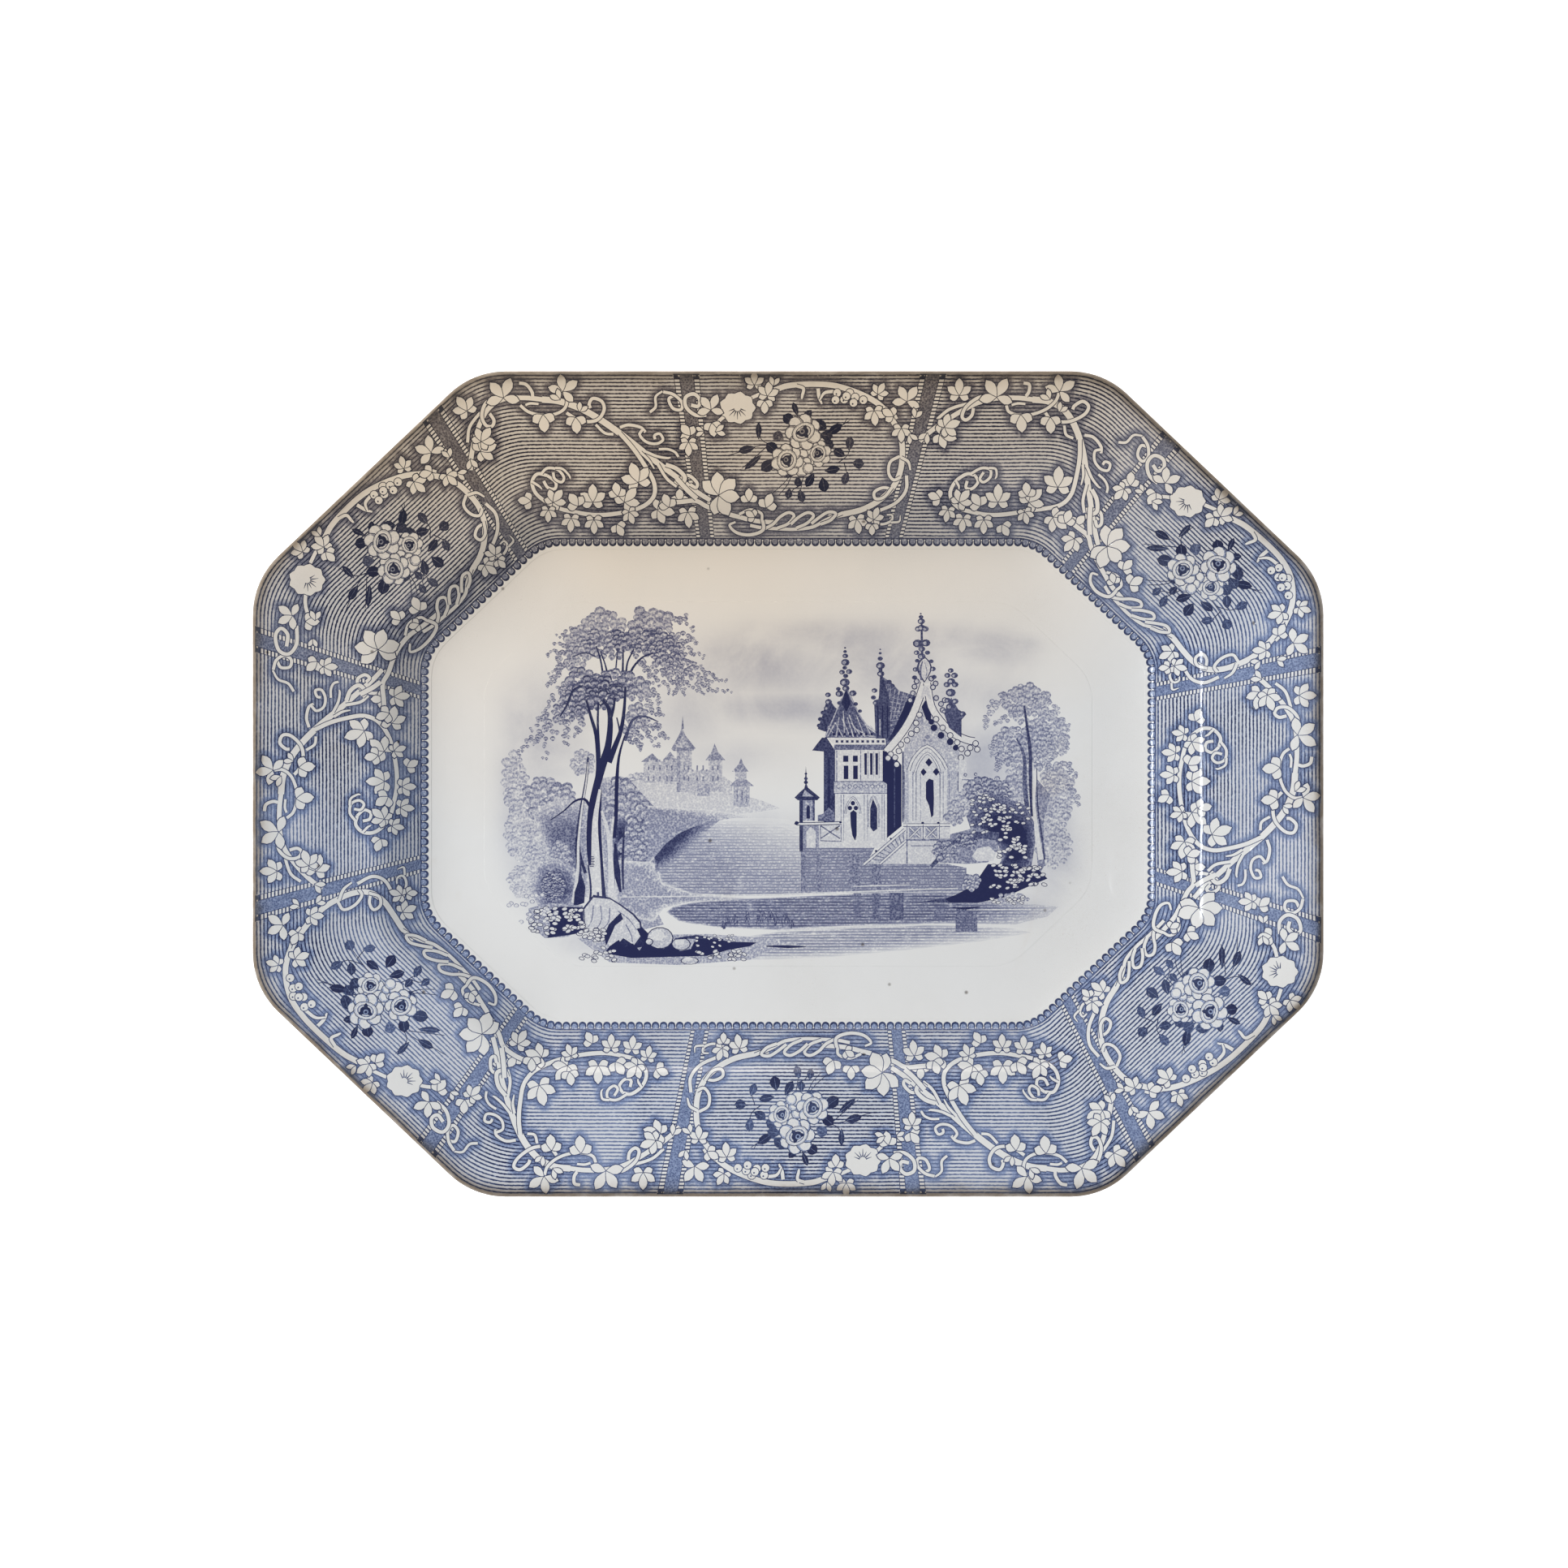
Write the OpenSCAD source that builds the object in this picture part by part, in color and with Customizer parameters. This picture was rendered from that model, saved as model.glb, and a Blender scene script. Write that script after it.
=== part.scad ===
// Transfer-printed serving platter: a pressed earthenware body, its underglaze
// prints (twelve cut lengths of border and one centre scene) and the clear glaze.
// It lies on its foot, face up, with its length along X.

/* [Outline] */
// Overall length, across the two short sides
platter_length = 393; // [385:1:400]
// Overall width, across the two long sides
platter_width = 303; // [297:1:309]
// Distance across the cut corners
corner_span = 379; // [374:1:384]
// Angle of a cut corner's outward direction from the length
corner_angle = 46.5; // [44:0.5:48]
// Radius that rounds the eight outer corners
rim_corner_r = 30; // [20:1:34]
// Radius that rounds the eight corners of the well
well_corner_r = 18; // [14:1:20]

/* [Section] */
// Height of the rim's top above the table
platter_height = 37; // [34:1:42]
// Width of the printed border, from the rim's edge to the well
border_w = 61; // [59:0.5:63]
// Thickness of the well
well_t = 5.6; // [5:0.1:7]
// Thickness of the rim and the shoulder
rim_t = 4.8; // [4.4:0.1:5.4]
// Height of the recess inside the foot
foot_recess = 2.4; // [1.6:0.1:3.2]
// Width of the foot's bare resting face
foot_w = 3.4; // [3:0.1:5]

/* [Layers] */
// Thickness of the clear glaze over the prints
glaze_t = 0.3; // [0.25:0.05:0.4]
// Thickness of a printed layer
print_t = 0.1; // [0.08:0.01:0.12]

/* [Smoothness] */
// Steps round each outer corner
corner_steps = 3; // [2:1:5]

/* [Hidden] */

// Colours: unglazed clay, glaze over white clay, and cobalt print
clay = [0.84, 0.77, 0.66];
white_glaze = [0.93, 0.93, 0.91];
border_blue = [0.52, 0.56, 0.70];
scene_blue = [0.62, 0.64, 0.76];

// The eight sides, anticlockwise from the right: outward angle and distance
side_angle = [for (q = [0, 180]) each
    [q, q + corner_angle, q + 90, q + 180 - corner_angle]];
side_reach = [for (q = [0, 1]) each
    [platter_length, corner_span, platter_width, corner_span] / 2];

// Where the twelve cuts between border prints lie: side, then distance along the
// side at the rim's edge and at the well
cuts = [[0, -54, -34], [0, 46, 34], [1, -15, -20], [2, -53.5, -39],
    [2, 37.5, 30.5], [3, 1, 13.5], [4, -53.5, -34.5], [4, 46, 29.5],
    [5, -4, -13.5], [6, -43.5, -32.5], [6, 46, 40], [7, 1.5, 20]];

// Corner c lies between side c and the side after it
function after(c) = (c + 1) % 8;
function unit(a) = [cos(a), sin(a)];
function crossing(a1, r1, a2, r2) =
    [r1 * sin(a2) - r2 * sin(a1), r2 * cos(a1) - r1 * cos(a2)] / sin(a2 - a1);
function corner(c, inset) = crossing(side_angle[c], side_reach[c] - inset,
    side_angle[after(c)], side_reach[after(c)] - inset);
function corner_r(inset) = rim_corner_r
    + (well_corner_r - rim_corner_r) * min(inset, border_w) / border_w;
function turn(c) = side_angle[after(c)] - side_angle[c] + (c == 7 ? 360 : 0);
function corner_point(c, share, inset) = let (r = corner_r(inset))
    corner(c, inset + r) + r * unit(side_angle[c] + share * turn(c));

// A cut's point at an inset: straight across the border, then in step with the side
function along(s) = unit(side_angle[s] + 90);
function side_end(s, inset) = corner(s, inset) * along(s);
function side_start(s, inset) = corner((s + 7) % 8, inset) * along(s);
function middle(s, inset) = (side_end(s, inset) + side_start(s, inset)) / 2;
function half(s, inset) = (side_end(s, inset) - side_start(s, inset)) / 2;
function cut_place(cut, inset) = inset <= border_w
    ? cut[1] + (cut[2] - cut[1]) * max(inset, 0) / border_w
    : middle(cut[0], inset) + (cut[2] - middle(cut[0], border_w))
        * half(cut[0], inset) / half(cut[0], border_w);
function cut_point(cut, inset) = let (s = cut[0])
    (side_reach[s] - inset) * unit(side_angle[s]) + cut_place(cut, inset) * along(s);

// Stations round the platter: the cuts on each side, then the corner that follows it
stations = [for (s = [0:7]) each concat(
    [for (c = [0:len(cuts) - 1]) if (cuts[c][0] == s) ["cut", c]],
    [for (i = [0:corner_steps]) ["corner", s, i / corner_steps]])];
around = len(stations);
cut_station = [for (c = [0:len(cuts) - 1])
    [for (k = [0:around - 1]) if (stations[k] == ["cut", c]) k][0]];
function station_point(k, inset) = let (s = stations[k % around])
    s[0] == "cut" ? cut_point(cuts[s[1]], inset) : corner_point(s[1], s[2], inset);

// The section, as [inset from the rim's edge, height], from the well outwards
edge_r = rim_t / 2;
rim_slope = 16;
well_z = foot_recess + well_t;
edge_z = platter_height - edge_r;
rim_start = [edge_r * (1 + sin(rim_slope)), edge_z + edge_r * cos(rim_slope)];
shoulder = [42, platter_height - 12];
crease = [border_w - 0.5, well_z + 3];
saucer = [80, well_z];
print_in = 65.5;
scene_in = 84;

function curve(a, b, c, d, t) = a * pow(1 - t, 3) + 3 * b * t * pow(1 - t, 2)
    + 3 * c * t * t * (1 - t) + d * t * t * t;
function run(a, b, c, d, n, from = 0) =
    [for (i = [from:n]) curve(a, b, c, d, i / n)];
function saucer_at(t) = curve(saucer, saucer - [9, 0], crease + [2.5, -1.8], crease, t);

// The inner end of the border prints falls on the saucer's curve
print_share = 0.775;
face = concat(
    [[scene_in, well_z], saucer, saucer_at(0.3), saucer_at(0.55), saucer_at(print_share),
        saucer_at(0.9)],
    run(crease, crease + [-4, 2.9], shoulder + [7.5, -1.7], shoulder, 7),
    run(shoulder, shoulder - [12, -2.8], rim_start + [12, -3.6], rim_start, 5, 1));
edge = [for (a = [90 - rim_slope + 20:20:270 - rim_slope - 19])
    [edge_r * (1 + cos(a)), edge_z + edge_r * sin(a)]];
print_first = 4;
print_last = len(face);

// A section's points moved inwards from the surface by a depth
function facing(p, i) = let (way = p[min(i + 1, len(p) - 1)] - p[max(i - 1, 0)])
    [way[1], -way[0]] / norm(way);
function sunk(p, depth) = [for (i = [0:len(p) - 1]) p[i] - depth * facing(p, i)];

// The underside runs parallel to the face, then down to the foot
under_face = [for (i = [len(face) - 2:-1:6]) face[i] - rim_t * facing(face, i)];
foot_out = 69;
foot_top = [foot_out - 3.5, 4.2];
foot_end = [foot_out - 0.6, 0.7];
foot_in = foot_out + foot_w;
outside = concat(face, edge, under_face, [foot_top, foot_end]);
coat = glaze_t + print_t;
clay_out = concat([for (i = [0:len(outside) - 2]) sunk(outside, coat)[i]],
    [[foot_end[0] + coat, foot_end[1]]]);
base = [[foot_in + 0.6, 0.7], [foot_in + 2, foot_recess], [scene_in, foot_recess]];
clay_base = [base[0] - [coat, 0], base[1] + [-0.2, coat], base[2] + [0, coat]];
print_top = [for (i = [print_first:print_last]) sunk(outside, glaze_t)[i]];
print_under = [for (i = [print_first:print_last]) clay_out[i]];

// Rings of points for a list of [inset, height], at stations from first to last
function rings(section, first, last) = [for (p = section) each
    [for (k = [first:last]) concat(station_point(k, p[0]), [p[1]])]];
// Two triangles for each square between two rings of n points
function square_faces(a, b, c, d) = [[a, b, c], [a, c, d]];
function band(i, j, n, wrap) = [for (k = [0:wrap ? n - 1 : n - 2]) each
    square_faces(i * n + k, i * n + (k + 1) % n, j * n + (k + 1) % n, j * n + k)];

// A solid whose section runs from the middle of the top to the middle of the bottom
module turned(section) {
    last = len(section) - 1;
    top_middle = (last + 1) * around;
    polyhedron(concat(rings(section, 0, around - 1),
            [[0, 0, section[0][1]], [0, 0, section[last][1]]]), concat(
        [for (k = [0:around - 1]) [top_middle, (k + 1) % around, k]],
        [for (i = [0:last - 1]) each band(i, i + 1, around, true)],
        [for (k = [0:around - 1]) [top_middle + 1, last * around + k,
            last * around + (k + 1) % around]]));
}

// A thin layer between two sections of the same length, from one station to another
module layer(top, bottom, first, last) {
    n = last - first + 1;
    m = len(top);
    polyhedron(concat(rings(top, first, last), rings(bottom, first, last)), concat(
        [for (i = [0:m - 2]) each band(i, i + 1, n, false)],
        [for (i = [0:m - 2]) for (f = band(m + i, m + i + 1, n, false)) [f[2], f[1], f[0]]],
        [for (f = band(m, 0, n, false)) f],
        [for (f = band(m - 1, 2 * m - 1, n, false)) f],
        [for (i = [0:m - 2]) each square_faces(i * n, (i + 1) * n, (m + i + 1) * n,
            (m + i) * n)],
        [for (i = [0:m - 2]) each square_faces((m + i) * n + n - 1,
            (m + i + 1) * n + n - 1, (i + 1) * n + n - 1, i * n + n - 1)]));
}

// The clay: face, edge and underside beneath the coats, and the bare foot
module earthenware_body() {
    color(clay) turned(concat(clay_out, [[foot_out, 0], [foot_in, 0]], clay_base));
}

// Glaze over the face, round the edge and down the back to the foot
module face_glaze() {
    scene_floor = [scene_in, well_z - glaze_t];
    back = [for (i = [len(outside) - 1:-1:0]) clay_out[i]];
    back_end = len(outside) - 1 - print_last;
    color(white_glaze) turned(concat(outside,
        [for (i = [0:back_end]) back[i]],
        [for (i = [len(print_top) - 1:-1:0]) print_top[i]],
        [for (i = [print_first:-1:0]) clay_out[i]],
        [scene_floor]));
}

// Glaze inside the foot's recess
module base_glaze() {
    last = len(base) - 1;
    color(white_glaze) turned(concat([for (i = [last:-1:0]) clay_base[i]], base));
}

// The centre scene's print, a sheet with the well's own outline
module centre_print() {
    color(scene_blue) turned([[scene_in, well_z - glaze_t], [scene_in, well_z - coat]]);
}

// One cut length of border print, from cut c to the next
module border_print(c) {
    last = cut_station[(c + 1) % len(cuts)] + (c == len(cuts) - 1 ? around : 0);
    color(border_blue) layer(print_top, print_under, cut_station[c], last);
}

earthenware_body();
face_glaze();
base_glaze();
centre_print();
border_print(0);  // border_print_right
border_print(1);  // border_print_top_right_corner
border_print(2);  // border_print_top_right
border_print(3);  // border_print_top
border_print(4);  // border_print_top_left
border_print(5);  // border_print_top_left_corner
border_print(6);  // border_print_left
border_print(7);  // border_print_bottom_left_corner
border_print(8);  // border_print_bottom_left
border_print(9);  // border_print_bottom
border_print(10);  // border_print_bottom_right
border_print(11);  // border_print_bottom_right_corner
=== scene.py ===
import math
import random

import bmesh
import bpy
import numpy as np
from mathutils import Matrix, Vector, kdtree
from mathutils.geometry import delaunay_2d_cdt


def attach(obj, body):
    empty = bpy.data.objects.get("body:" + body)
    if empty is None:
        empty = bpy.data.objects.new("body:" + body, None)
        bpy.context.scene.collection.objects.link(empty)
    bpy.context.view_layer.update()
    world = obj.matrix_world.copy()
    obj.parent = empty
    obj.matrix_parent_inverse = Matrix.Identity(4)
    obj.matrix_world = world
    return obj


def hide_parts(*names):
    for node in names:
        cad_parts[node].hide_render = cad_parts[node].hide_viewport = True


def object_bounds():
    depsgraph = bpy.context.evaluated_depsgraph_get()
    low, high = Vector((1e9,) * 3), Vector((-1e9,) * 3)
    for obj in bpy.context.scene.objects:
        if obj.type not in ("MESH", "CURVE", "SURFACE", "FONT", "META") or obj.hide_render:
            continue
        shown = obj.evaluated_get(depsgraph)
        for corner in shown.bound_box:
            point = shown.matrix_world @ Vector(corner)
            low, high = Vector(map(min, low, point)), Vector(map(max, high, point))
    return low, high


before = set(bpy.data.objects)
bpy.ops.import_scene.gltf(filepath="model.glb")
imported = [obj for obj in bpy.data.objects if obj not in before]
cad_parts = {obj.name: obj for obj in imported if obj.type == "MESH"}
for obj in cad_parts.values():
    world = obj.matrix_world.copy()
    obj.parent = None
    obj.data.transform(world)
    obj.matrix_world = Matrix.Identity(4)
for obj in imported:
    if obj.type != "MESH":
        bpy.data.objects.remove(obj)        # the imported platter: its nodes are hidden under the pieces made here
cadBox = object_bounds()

bpy.ops.object.select_all(action='DESELECT')
mm = 0.001
boxSize = (Vector(cadBox[1]) - Vector(cadBox[0])) / mm

# the platter's outline and section, in millimetres

outline = {
    "length": boxSize.x,
    "width": boxSize.y,
    "height": boxSize.z,
    "cornerSpan": 379,       # across the cut corners
    "cornerAngle": 46.5,     # a cut corner's outward direction from the length
    "rimRadius": 30,         # rounding of the rim's corners
    "wellRadius": 18,        # rounding of the well's corners
    "borderWidth": 61,       # from the rim's edge to the well
}

section = {
    "wellThick": 5.6,
    "rimThick": 4.8,
    "footRecess": 2.4,
    "footWidth": 3.4,
    "footOut": 69,
    "rimSlope": 16,
    "coat": 0.4,             # glaze and print together
    "glazeThick": 0.3,
    "lift": 0.1,             # a border print stands this much over the glaze, so it never dips under it
    "centreLift": 0.03,
    "flatFrom": 84,          # the well is flat from this far in
}

# the eight sides anticlockwise from the right: outward angle and reach
sides = []
halfSpan = outline["cornerSpan"] / 2
for turn in (0, 180):
    sides += [(turn, outline["length"] / 2), (turn + outline["cornerAngle"], halfSpan),
              (turn + 90, outline["width"] / 2), (turn + 180 - outline["cornerAngle"], halfSpan)]

# the bars between the border prints: side, place along it at the rim's edge, and at the well
bars = [(0, -54, -34), (0, 46, 34), (1, -15, -20), (2, -53.5, -39), (2, 37.5, 30.5), (3, 1, 13.5),
        (4, -53.5, -34.5), (4, 46, 29.5), (5, -4, -13.5), (6, -43.5, -32.5), (6, 46, 40), (7, 1.5, 20)]
borderNames = ["right", "top_right_corner", "top_right", "top", "top_left", "top_left_corner",
               "left", "bottom_left_corner", "bottom_left", "bottom", "bottom_right", "bottom_right_corner"]


def unit(angle):
    return Vector((math.cos(math.radians(angle)), math.sin(math.radians(angle))))


def cornerSpot(corner, inset):
    # where a side meets the side after it
    a1, r1 = sides[corner % 8]
    a2, r2 = sides[(corner + 1) % 8]
    n1, n2, r1, r2 = unit(a1), unit(a2), r1 - inset, r2 - inset
    return Vector((r1 * n2.y - r2 * n1.y, r2 * n1.x - r1 * n2.x)) / (n1.x * n2.y - n1.y * n2.x)


def cornerTurn(corner):
    return (sides[(corner + 1) % 8][0] - sides[corner % 8][0]) % 360


def roundingAt(inset):
    share = min(max(inset, 0) / outline["borderWidth"], 1)
    return outline["rimRadius"] + (outline["wellRadius"] - outline["rimRadius"]) * share


def ringPoints(inset, cornerSteps=10, sideSteps=6):
    # a closed ring, with its corner arcs and straight sides in even steps
    radius = roundingAt(inset)
    arcs = []
    for corner in range(8):
        middle = cornerSpot(corner, inset + radius)
        arcs.append([middle + radius * unit(sides[corner][0] + cornerTurn(corner) * i / cornerSteps)
                     for i in range(cornerSteps + 1)])
    ring = []
    for corner in range(8):
        nextStart = arcs[(corner + 1) % 8][0]
        ring += arcs[corner]
        ring += [arcs[corner][-1].lerp(nextStart, i / sideSteps) for i in range(1, sideSteps)]
    return ring


def insetAt(points):
    # how far in from the rim's edge each point of an N by 2 array lies, ring by ring
    points = np.asarray(points, float)
    straight = np.min([reach - points @ np.array(unit(angle)) for angle, reach in sides], axis=0)
    insets = straight.copy()
    rim, well, width = outline["rimRadius"], outline["wellRadius"], outline["borderWidth"]
    for corner in range(8):
        vertex = np.array(cornerSpot(corner, 0))
        mitre = vertex - np.array(cornerSpot(corner, 1))
        guess = straight.copy()
        for _ in range(8):
            radius = rim + (well - rim) * np.clip(guess / width, 0, 1)
            toPoint = points - vertex + (guess + radius)[:, None] * mitre
            guess -= (np.linalg.norm(toPoint, axis=1) - radius) * 0.9
        bearing = np.degrees(np.arctan2(toPoint[:, 1], toPoint[:, 0])) - sides[corner][0]
        bearing = np.mod(bearing + 180, 360) - 180
        near = np.linalg.norm(points - vertex, axis=1) < 130
        onArc = near & (bearing > 0) & (bearing < cornerTurn(corner))
        insets = np.where(onArc, guess, insets)
    return insets


def bezier(a, b, c, d, steps):
    a, b, c, d = Vector(a), Vector(b), Vector(c), Vector(d)
    return [a * (1 - t) ** 3 + 3 * b * t * (1 - t) ** 2 + 3 * c * t * t * (1 - t) + d * t ** 3
            for t in (i / steps for i in range(steps + 1))]


def faceSection():
    # (inset, height) from the flat of the well out to the rim's edge
    edge = section["rimThick"] / 2
    slope = unit(section["rimSlope"])
    wellTop = section["footRecess"] + section["wellThick"]
    rimStart = Vector((edge * (1 + slope.y), outline["height"] - edge + edge * slope.x))
    shoulder = Vector((42, outline["height"] - 12))
    crease = Vector((outline["borderWidth"] - 0.5, wellTop + 3))
    saucer = Vector((section["flatFrom"] - 4, wellTop))
    spots = [Vector((section["flatFrom"], wellTop))]
    spots += bezier(saucer, saucer - Vector((9, 0)), crease + Vector((2.5, -1.8)), crease, 14)
    spots += bezier(crease, crease + Vector((-4, 2.9)), shoulder + Vector((7.5, -1.7)), shoulder, 16)[1:]
    outer = rimStart + Vector((12, -3.6))
    spots += bezier(shoulder, shoulder - Vector((12, -2.8)), outer, rimStart, 18)[1:]
    return spots


face = faceSection()
faceInsets = np.array([spot.x for spot in reversed(face)])
faceHeights = np.array([spot.y for spot in reversed(face)])

# the clay and its glazes


def facing(spots, i):
    way = spots[min(i + 1, len(spots) - 1)] - spots[max(i - 1, 0)]
    return Vector((way.y, -way.x)).normalized()


def sunk(spots, depth):
    return [spot - depth * facing(spots, i) for i, spot in enumerate(spots)]


def outsideSection():
    # from the middle of the well, over the rim's rounded edge and down the back to the foot
    edge = section["rimThick"] / 2
    middle = Vector((edge, outline["height"] - edge))
    rounding = [middle + edge * unit(angle) for angle in range(96, 254, 12)]
    back = [face[i] - section["rimThick"] * facing(face, i) for i in range(len(face) - 2, 12, -2)]
    foot = section["footOut"]
    return face + rounding + back + [Vector((foot - 5, 5.7)), Vector((foot - 3.2, 4.1)),
                                     Vector((foot - 1.5, 2.3)), Vector((foot - 0.6, 0.7))]


def turned(name, spots, closeStart=True, closeEnd=True):
    # a circle is set on the first ring, then extruded ring by ring along the section
    count = len(ringPoints(spots[0].x))
    bpy.ops.mesh.primitive_circle_add(vertices=count, radius=0.1)
    piece = bpy.context.object
    piece.name = name
    bpy.ops.object.mode_set(mode='EDIT')
    mesh = bmesh.from_edit_mesh(piece.data)
    order = mesh.verts.layers.int.new("order")
    for number, vert in enumerate(mesh.verts):
        vert[order] = number
    for step, spot in enumerate(spots):
        if step:
            bpy.ops.mesh.extrude_region_move()
            mesh = bmesh.from_edit_mesh(piece.data)
            order = mesh.verts.layers.int["order"]
        ring = ringPoints(spot.x)
        for vert in mesh.verts:
            if vert.select:
                place = ring[vert[order]]
                vert.co = Vector((place.x, place.y, spot.y)) * mm
    if closeEnd:
        bpy.ops.mesh.edge_face_add()
    if closeStart:
        bpy.ops.mesh.select_all(action='DESELECT')
        mesh = bmesh.from_edit_mesh(piece.data)
        for edge in mesh.edges:
            onFirst = all(abs(vert.co.z - spots[0].y * mm) < 1e-7 for vert in edge.verts)
            edge.select_set(edge.is_boundary and onFirst)
        bpy.ops.mesh.edge_face_add()
    bpy.ops.mesh.select_all(action='SELECT')
    bpy.ops.mesh.normals_make_consistent(inside=False)
    bpy.ops.object.mode_set(mode='OBJECT')
    bpy.ops.object.shade_smooth()
    return piece


def thicken(piece, thickness):
    # the skin gets its thickness below the face that shows
    bpy.ops.object.select_all(action='DESELECT')
    piece.select_set(True)
    bpy.context.view_layer.objects.active = piece
    wall = piece.modifiers.new("wall", 'SOLIDIFY')
    wall.thickness = thickness
    wall.offset = -1
    bpy.ops.object.modifier_apply(modifier=wall.name)
    piece.select_set(False)


def setDepth(piece):
    # each point's inset from the rim's edge, for the darker rim edge, the pitted band and engraved lines that
    # follow the rings
    count = len(piece.data.vertices)
    places = np.empty(count * 3)
    piece.data.vertices.foreach_get("co", places)
    depth = insetAt(places.reshape(-1, 3)[:, :2] / mm)
    piece.data.attributes.new("depth", 'FLOAT', 'POINT').data.foreach_set("value", depth)


outside = outsideSection()
coat = section["coat"]
footOut, footIn = section["footOut"], section["footOut"] + section["footWidth"]
footLip = 0.7                # the height where the foot's rounding ends
footRecess = section["footRecess"]
base = [Vector((footIn + 0.6, footLip)), Vector((footIn + 1.2, 1.8)), Vector((footIn + 2.4, footRecess)),
        Vector((section["flatFrom"], footRecess))]
claySpots = sunk(outside, coat)[:-1]
claySpots += [Vector((footOut - 0.6 + coat, footLip)), Vector((footOut, 0)), Vector((footIn, 0))]
claySpots += [Vector((footIn + 0.2, footLip))] + [spot + Vector((-0.2, coat)) for spot in base[1:]]
clayBody = turned("clayBody", claySpots)
faceGlaze = turned("faceGlaze", outside, closeEnd=False)
thicken(faceGlaze, section["glazeThick"] * mm)
baseGlaze = turned("baseGlaze", base, closeStart=False)
thicken(baseGlaze, section["glazeThick"] * mm)
for piece in (clayBody, faceGlaze, baseGlaze):
    setDepth(piece)
print("clay and glazes turned")

# how a print is drawn
# A print is a list of flat shapes, later ones over earlier ones. Each shape has an ink tone from
# 0, bare glaze, to 1, darkest; a share of engraved lines; and whether the ground darkens round it.

drawing = []
drawn = {
    "edgeStep": 1.6,          # a shape's outline gets a point at least this often
    "outlineWidth": 0.28,     # dark line round a white motif
    "haloReach": 1.7,
}


def addShape(points, tone, lines=0.0, halo=False):
    if len(points) == 4:
        middle = (points[0] + points[1] + points[2] + points[3]) / 4
        points = sorted(points, key=lambda spot: math.atan2(spot.y - middle.y, spot.x - middle.x))
    drawing.append({"points": points, "tone": tone, "lines": lines, "halo": halo})


def smoothPath(points, perSpan=5):
    # a curve through all the points
    points = [Vector(point) for point in points]
    ends = [2 * points[0] - points[1]] + points + [2 * points[-1] - points[-2]]
    path = [points[0]]
    for i in range(1, len(ends) - 2):
        a, b, c, d = ends[i - 1:i + 3]
        for step in range(1, perSpan + 1):
            t = step / perSpan
            path.append(0.5 * ((2 * b) + (c - a) * t + (2 * a - 5 * b + 4 * c - d) * t * t
                               + (3 * b - a - 3 * c + d) * t ** 3))
    return path


def band(path, widths, tone, lines=0.0, halo=False):
    # short pieces, end to end, so a band may cross itself
    count = len(path) - 1
    left, right = [], []
    for i, spot in enumerate(path):
        way = (path[min(i + 1, count)] - path[max(i - 1, 0)]).normalized()
        side = Vector((-way.y, way.x)) * np.interp(i / count, np.linspace(0, 1, len(widths)), widths) / 2
        left.append(spot + side)
        right.append(spot - side)
    for i in range(count):
        addShape([left[i], left[i + 1], right[i + 1], right[i]], tone, lines, halo)


def vine(points, width=1.6, perSpan=5, taper=1.0, tone=0.0):
    # a white stem with a dark line down each side, laid piece by piece so that loops pass over
    path = smoothPath(points, perSpan)
    widths = [width, width, width * taper]
    edge = drawn["outlineWidth"]
    count = len(path) - 1
    step = max(1, perSpan)
    for start in range(0, count, step):
        part = path[max(start - 1, 0):start + step + 1]
        if len(part) < 2:
            continue
        ends = (max(start - 1, 0), min(start + step, count))
        share = [np.interp(i / count, (0, 0.5, 1), widths) for i in ends]
        band(part, [share[0] + 2 * edge, share[1] + 2 * edge], 0.86, 0, True)
        band(part, share, tone)


def lobeOutline(base, angle, length, width, point=0.8, steps=5):
    way = unit(angle)
    side = Vector((-way.y, way.x))
    left, right = [], []
    for i in range(steps + 1):
        t = i / steps
        half = width / 2 * math.sin(math.pi * min(t ** 1.25, 1)) ** point
        spot = base + way * length * t
        left.append(spot + side * half)
        right.append(spot - side * half)
    return left + right[-2:0:-1]


def lobe(base, angle, length, width, tone=0.0, edgeTone=0.86, halo=True):
    grow = drawn["outlineWidth"]
    way = unit(angle)
    grown = lobeOutline(base - way * grow * 1.5, angle, length + 3.2 * grow, width + 2.4 * grow)
    addShape(grown, edgeTone, 0, halo)
    addShape(lobeOutline(base, angle, length, width), tone)


leafKinds = {
    # lobes as (turn, length, width), in the order they are laid
    "three": ((62, 0.72, 0.55), (-62, 0.72, 0.55), (0, 1.0, 0.6)),
    "four": ((115, 0.8, 0.42), (-95, 0.85, 0.45), (35, 1.0, 0.5), (-28, 0.95, 0.5)),
    "five": ((112, 0.6, 0.42), (-112, 0.6, 0.42), (55, 0.85, 0.45), (-55, 0.85, 0.45), (0, 1.0, 0.5)),
    "bud": ((28, 0.9, 0.42), (-28, 0.9, 0.42)),
}


def leaf(place, u, v, turn, size, kind="three"):
    # turn is from the panel's outward direction, clockwise
    spot, outward = place(u, v)
    for lobeTurn, length, width in leafKinds[kind]:
        lobe(spot, outward - turn - lobeTurn, size * length, size * width)


def stem(place, points, width=1.6, taper=1.0, perSpan=5):
    vine([place(u, v)[0] for u, v in points], width, perSpan, taper)


def disc(spot, radius, tone, squash=1.0, angle=0, lines=0.0, halo=False, sides=10):
    way = unit(angle)
    across = Vector((-way.y, way.x))
    addShape([spot + way * radius * math.cos(2 * math.pi * i / sides) + across * radius * squash
              * math.sin(2 * math.pi * i / sides) for i in range(sides)], tone, lines, halo)


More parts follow.
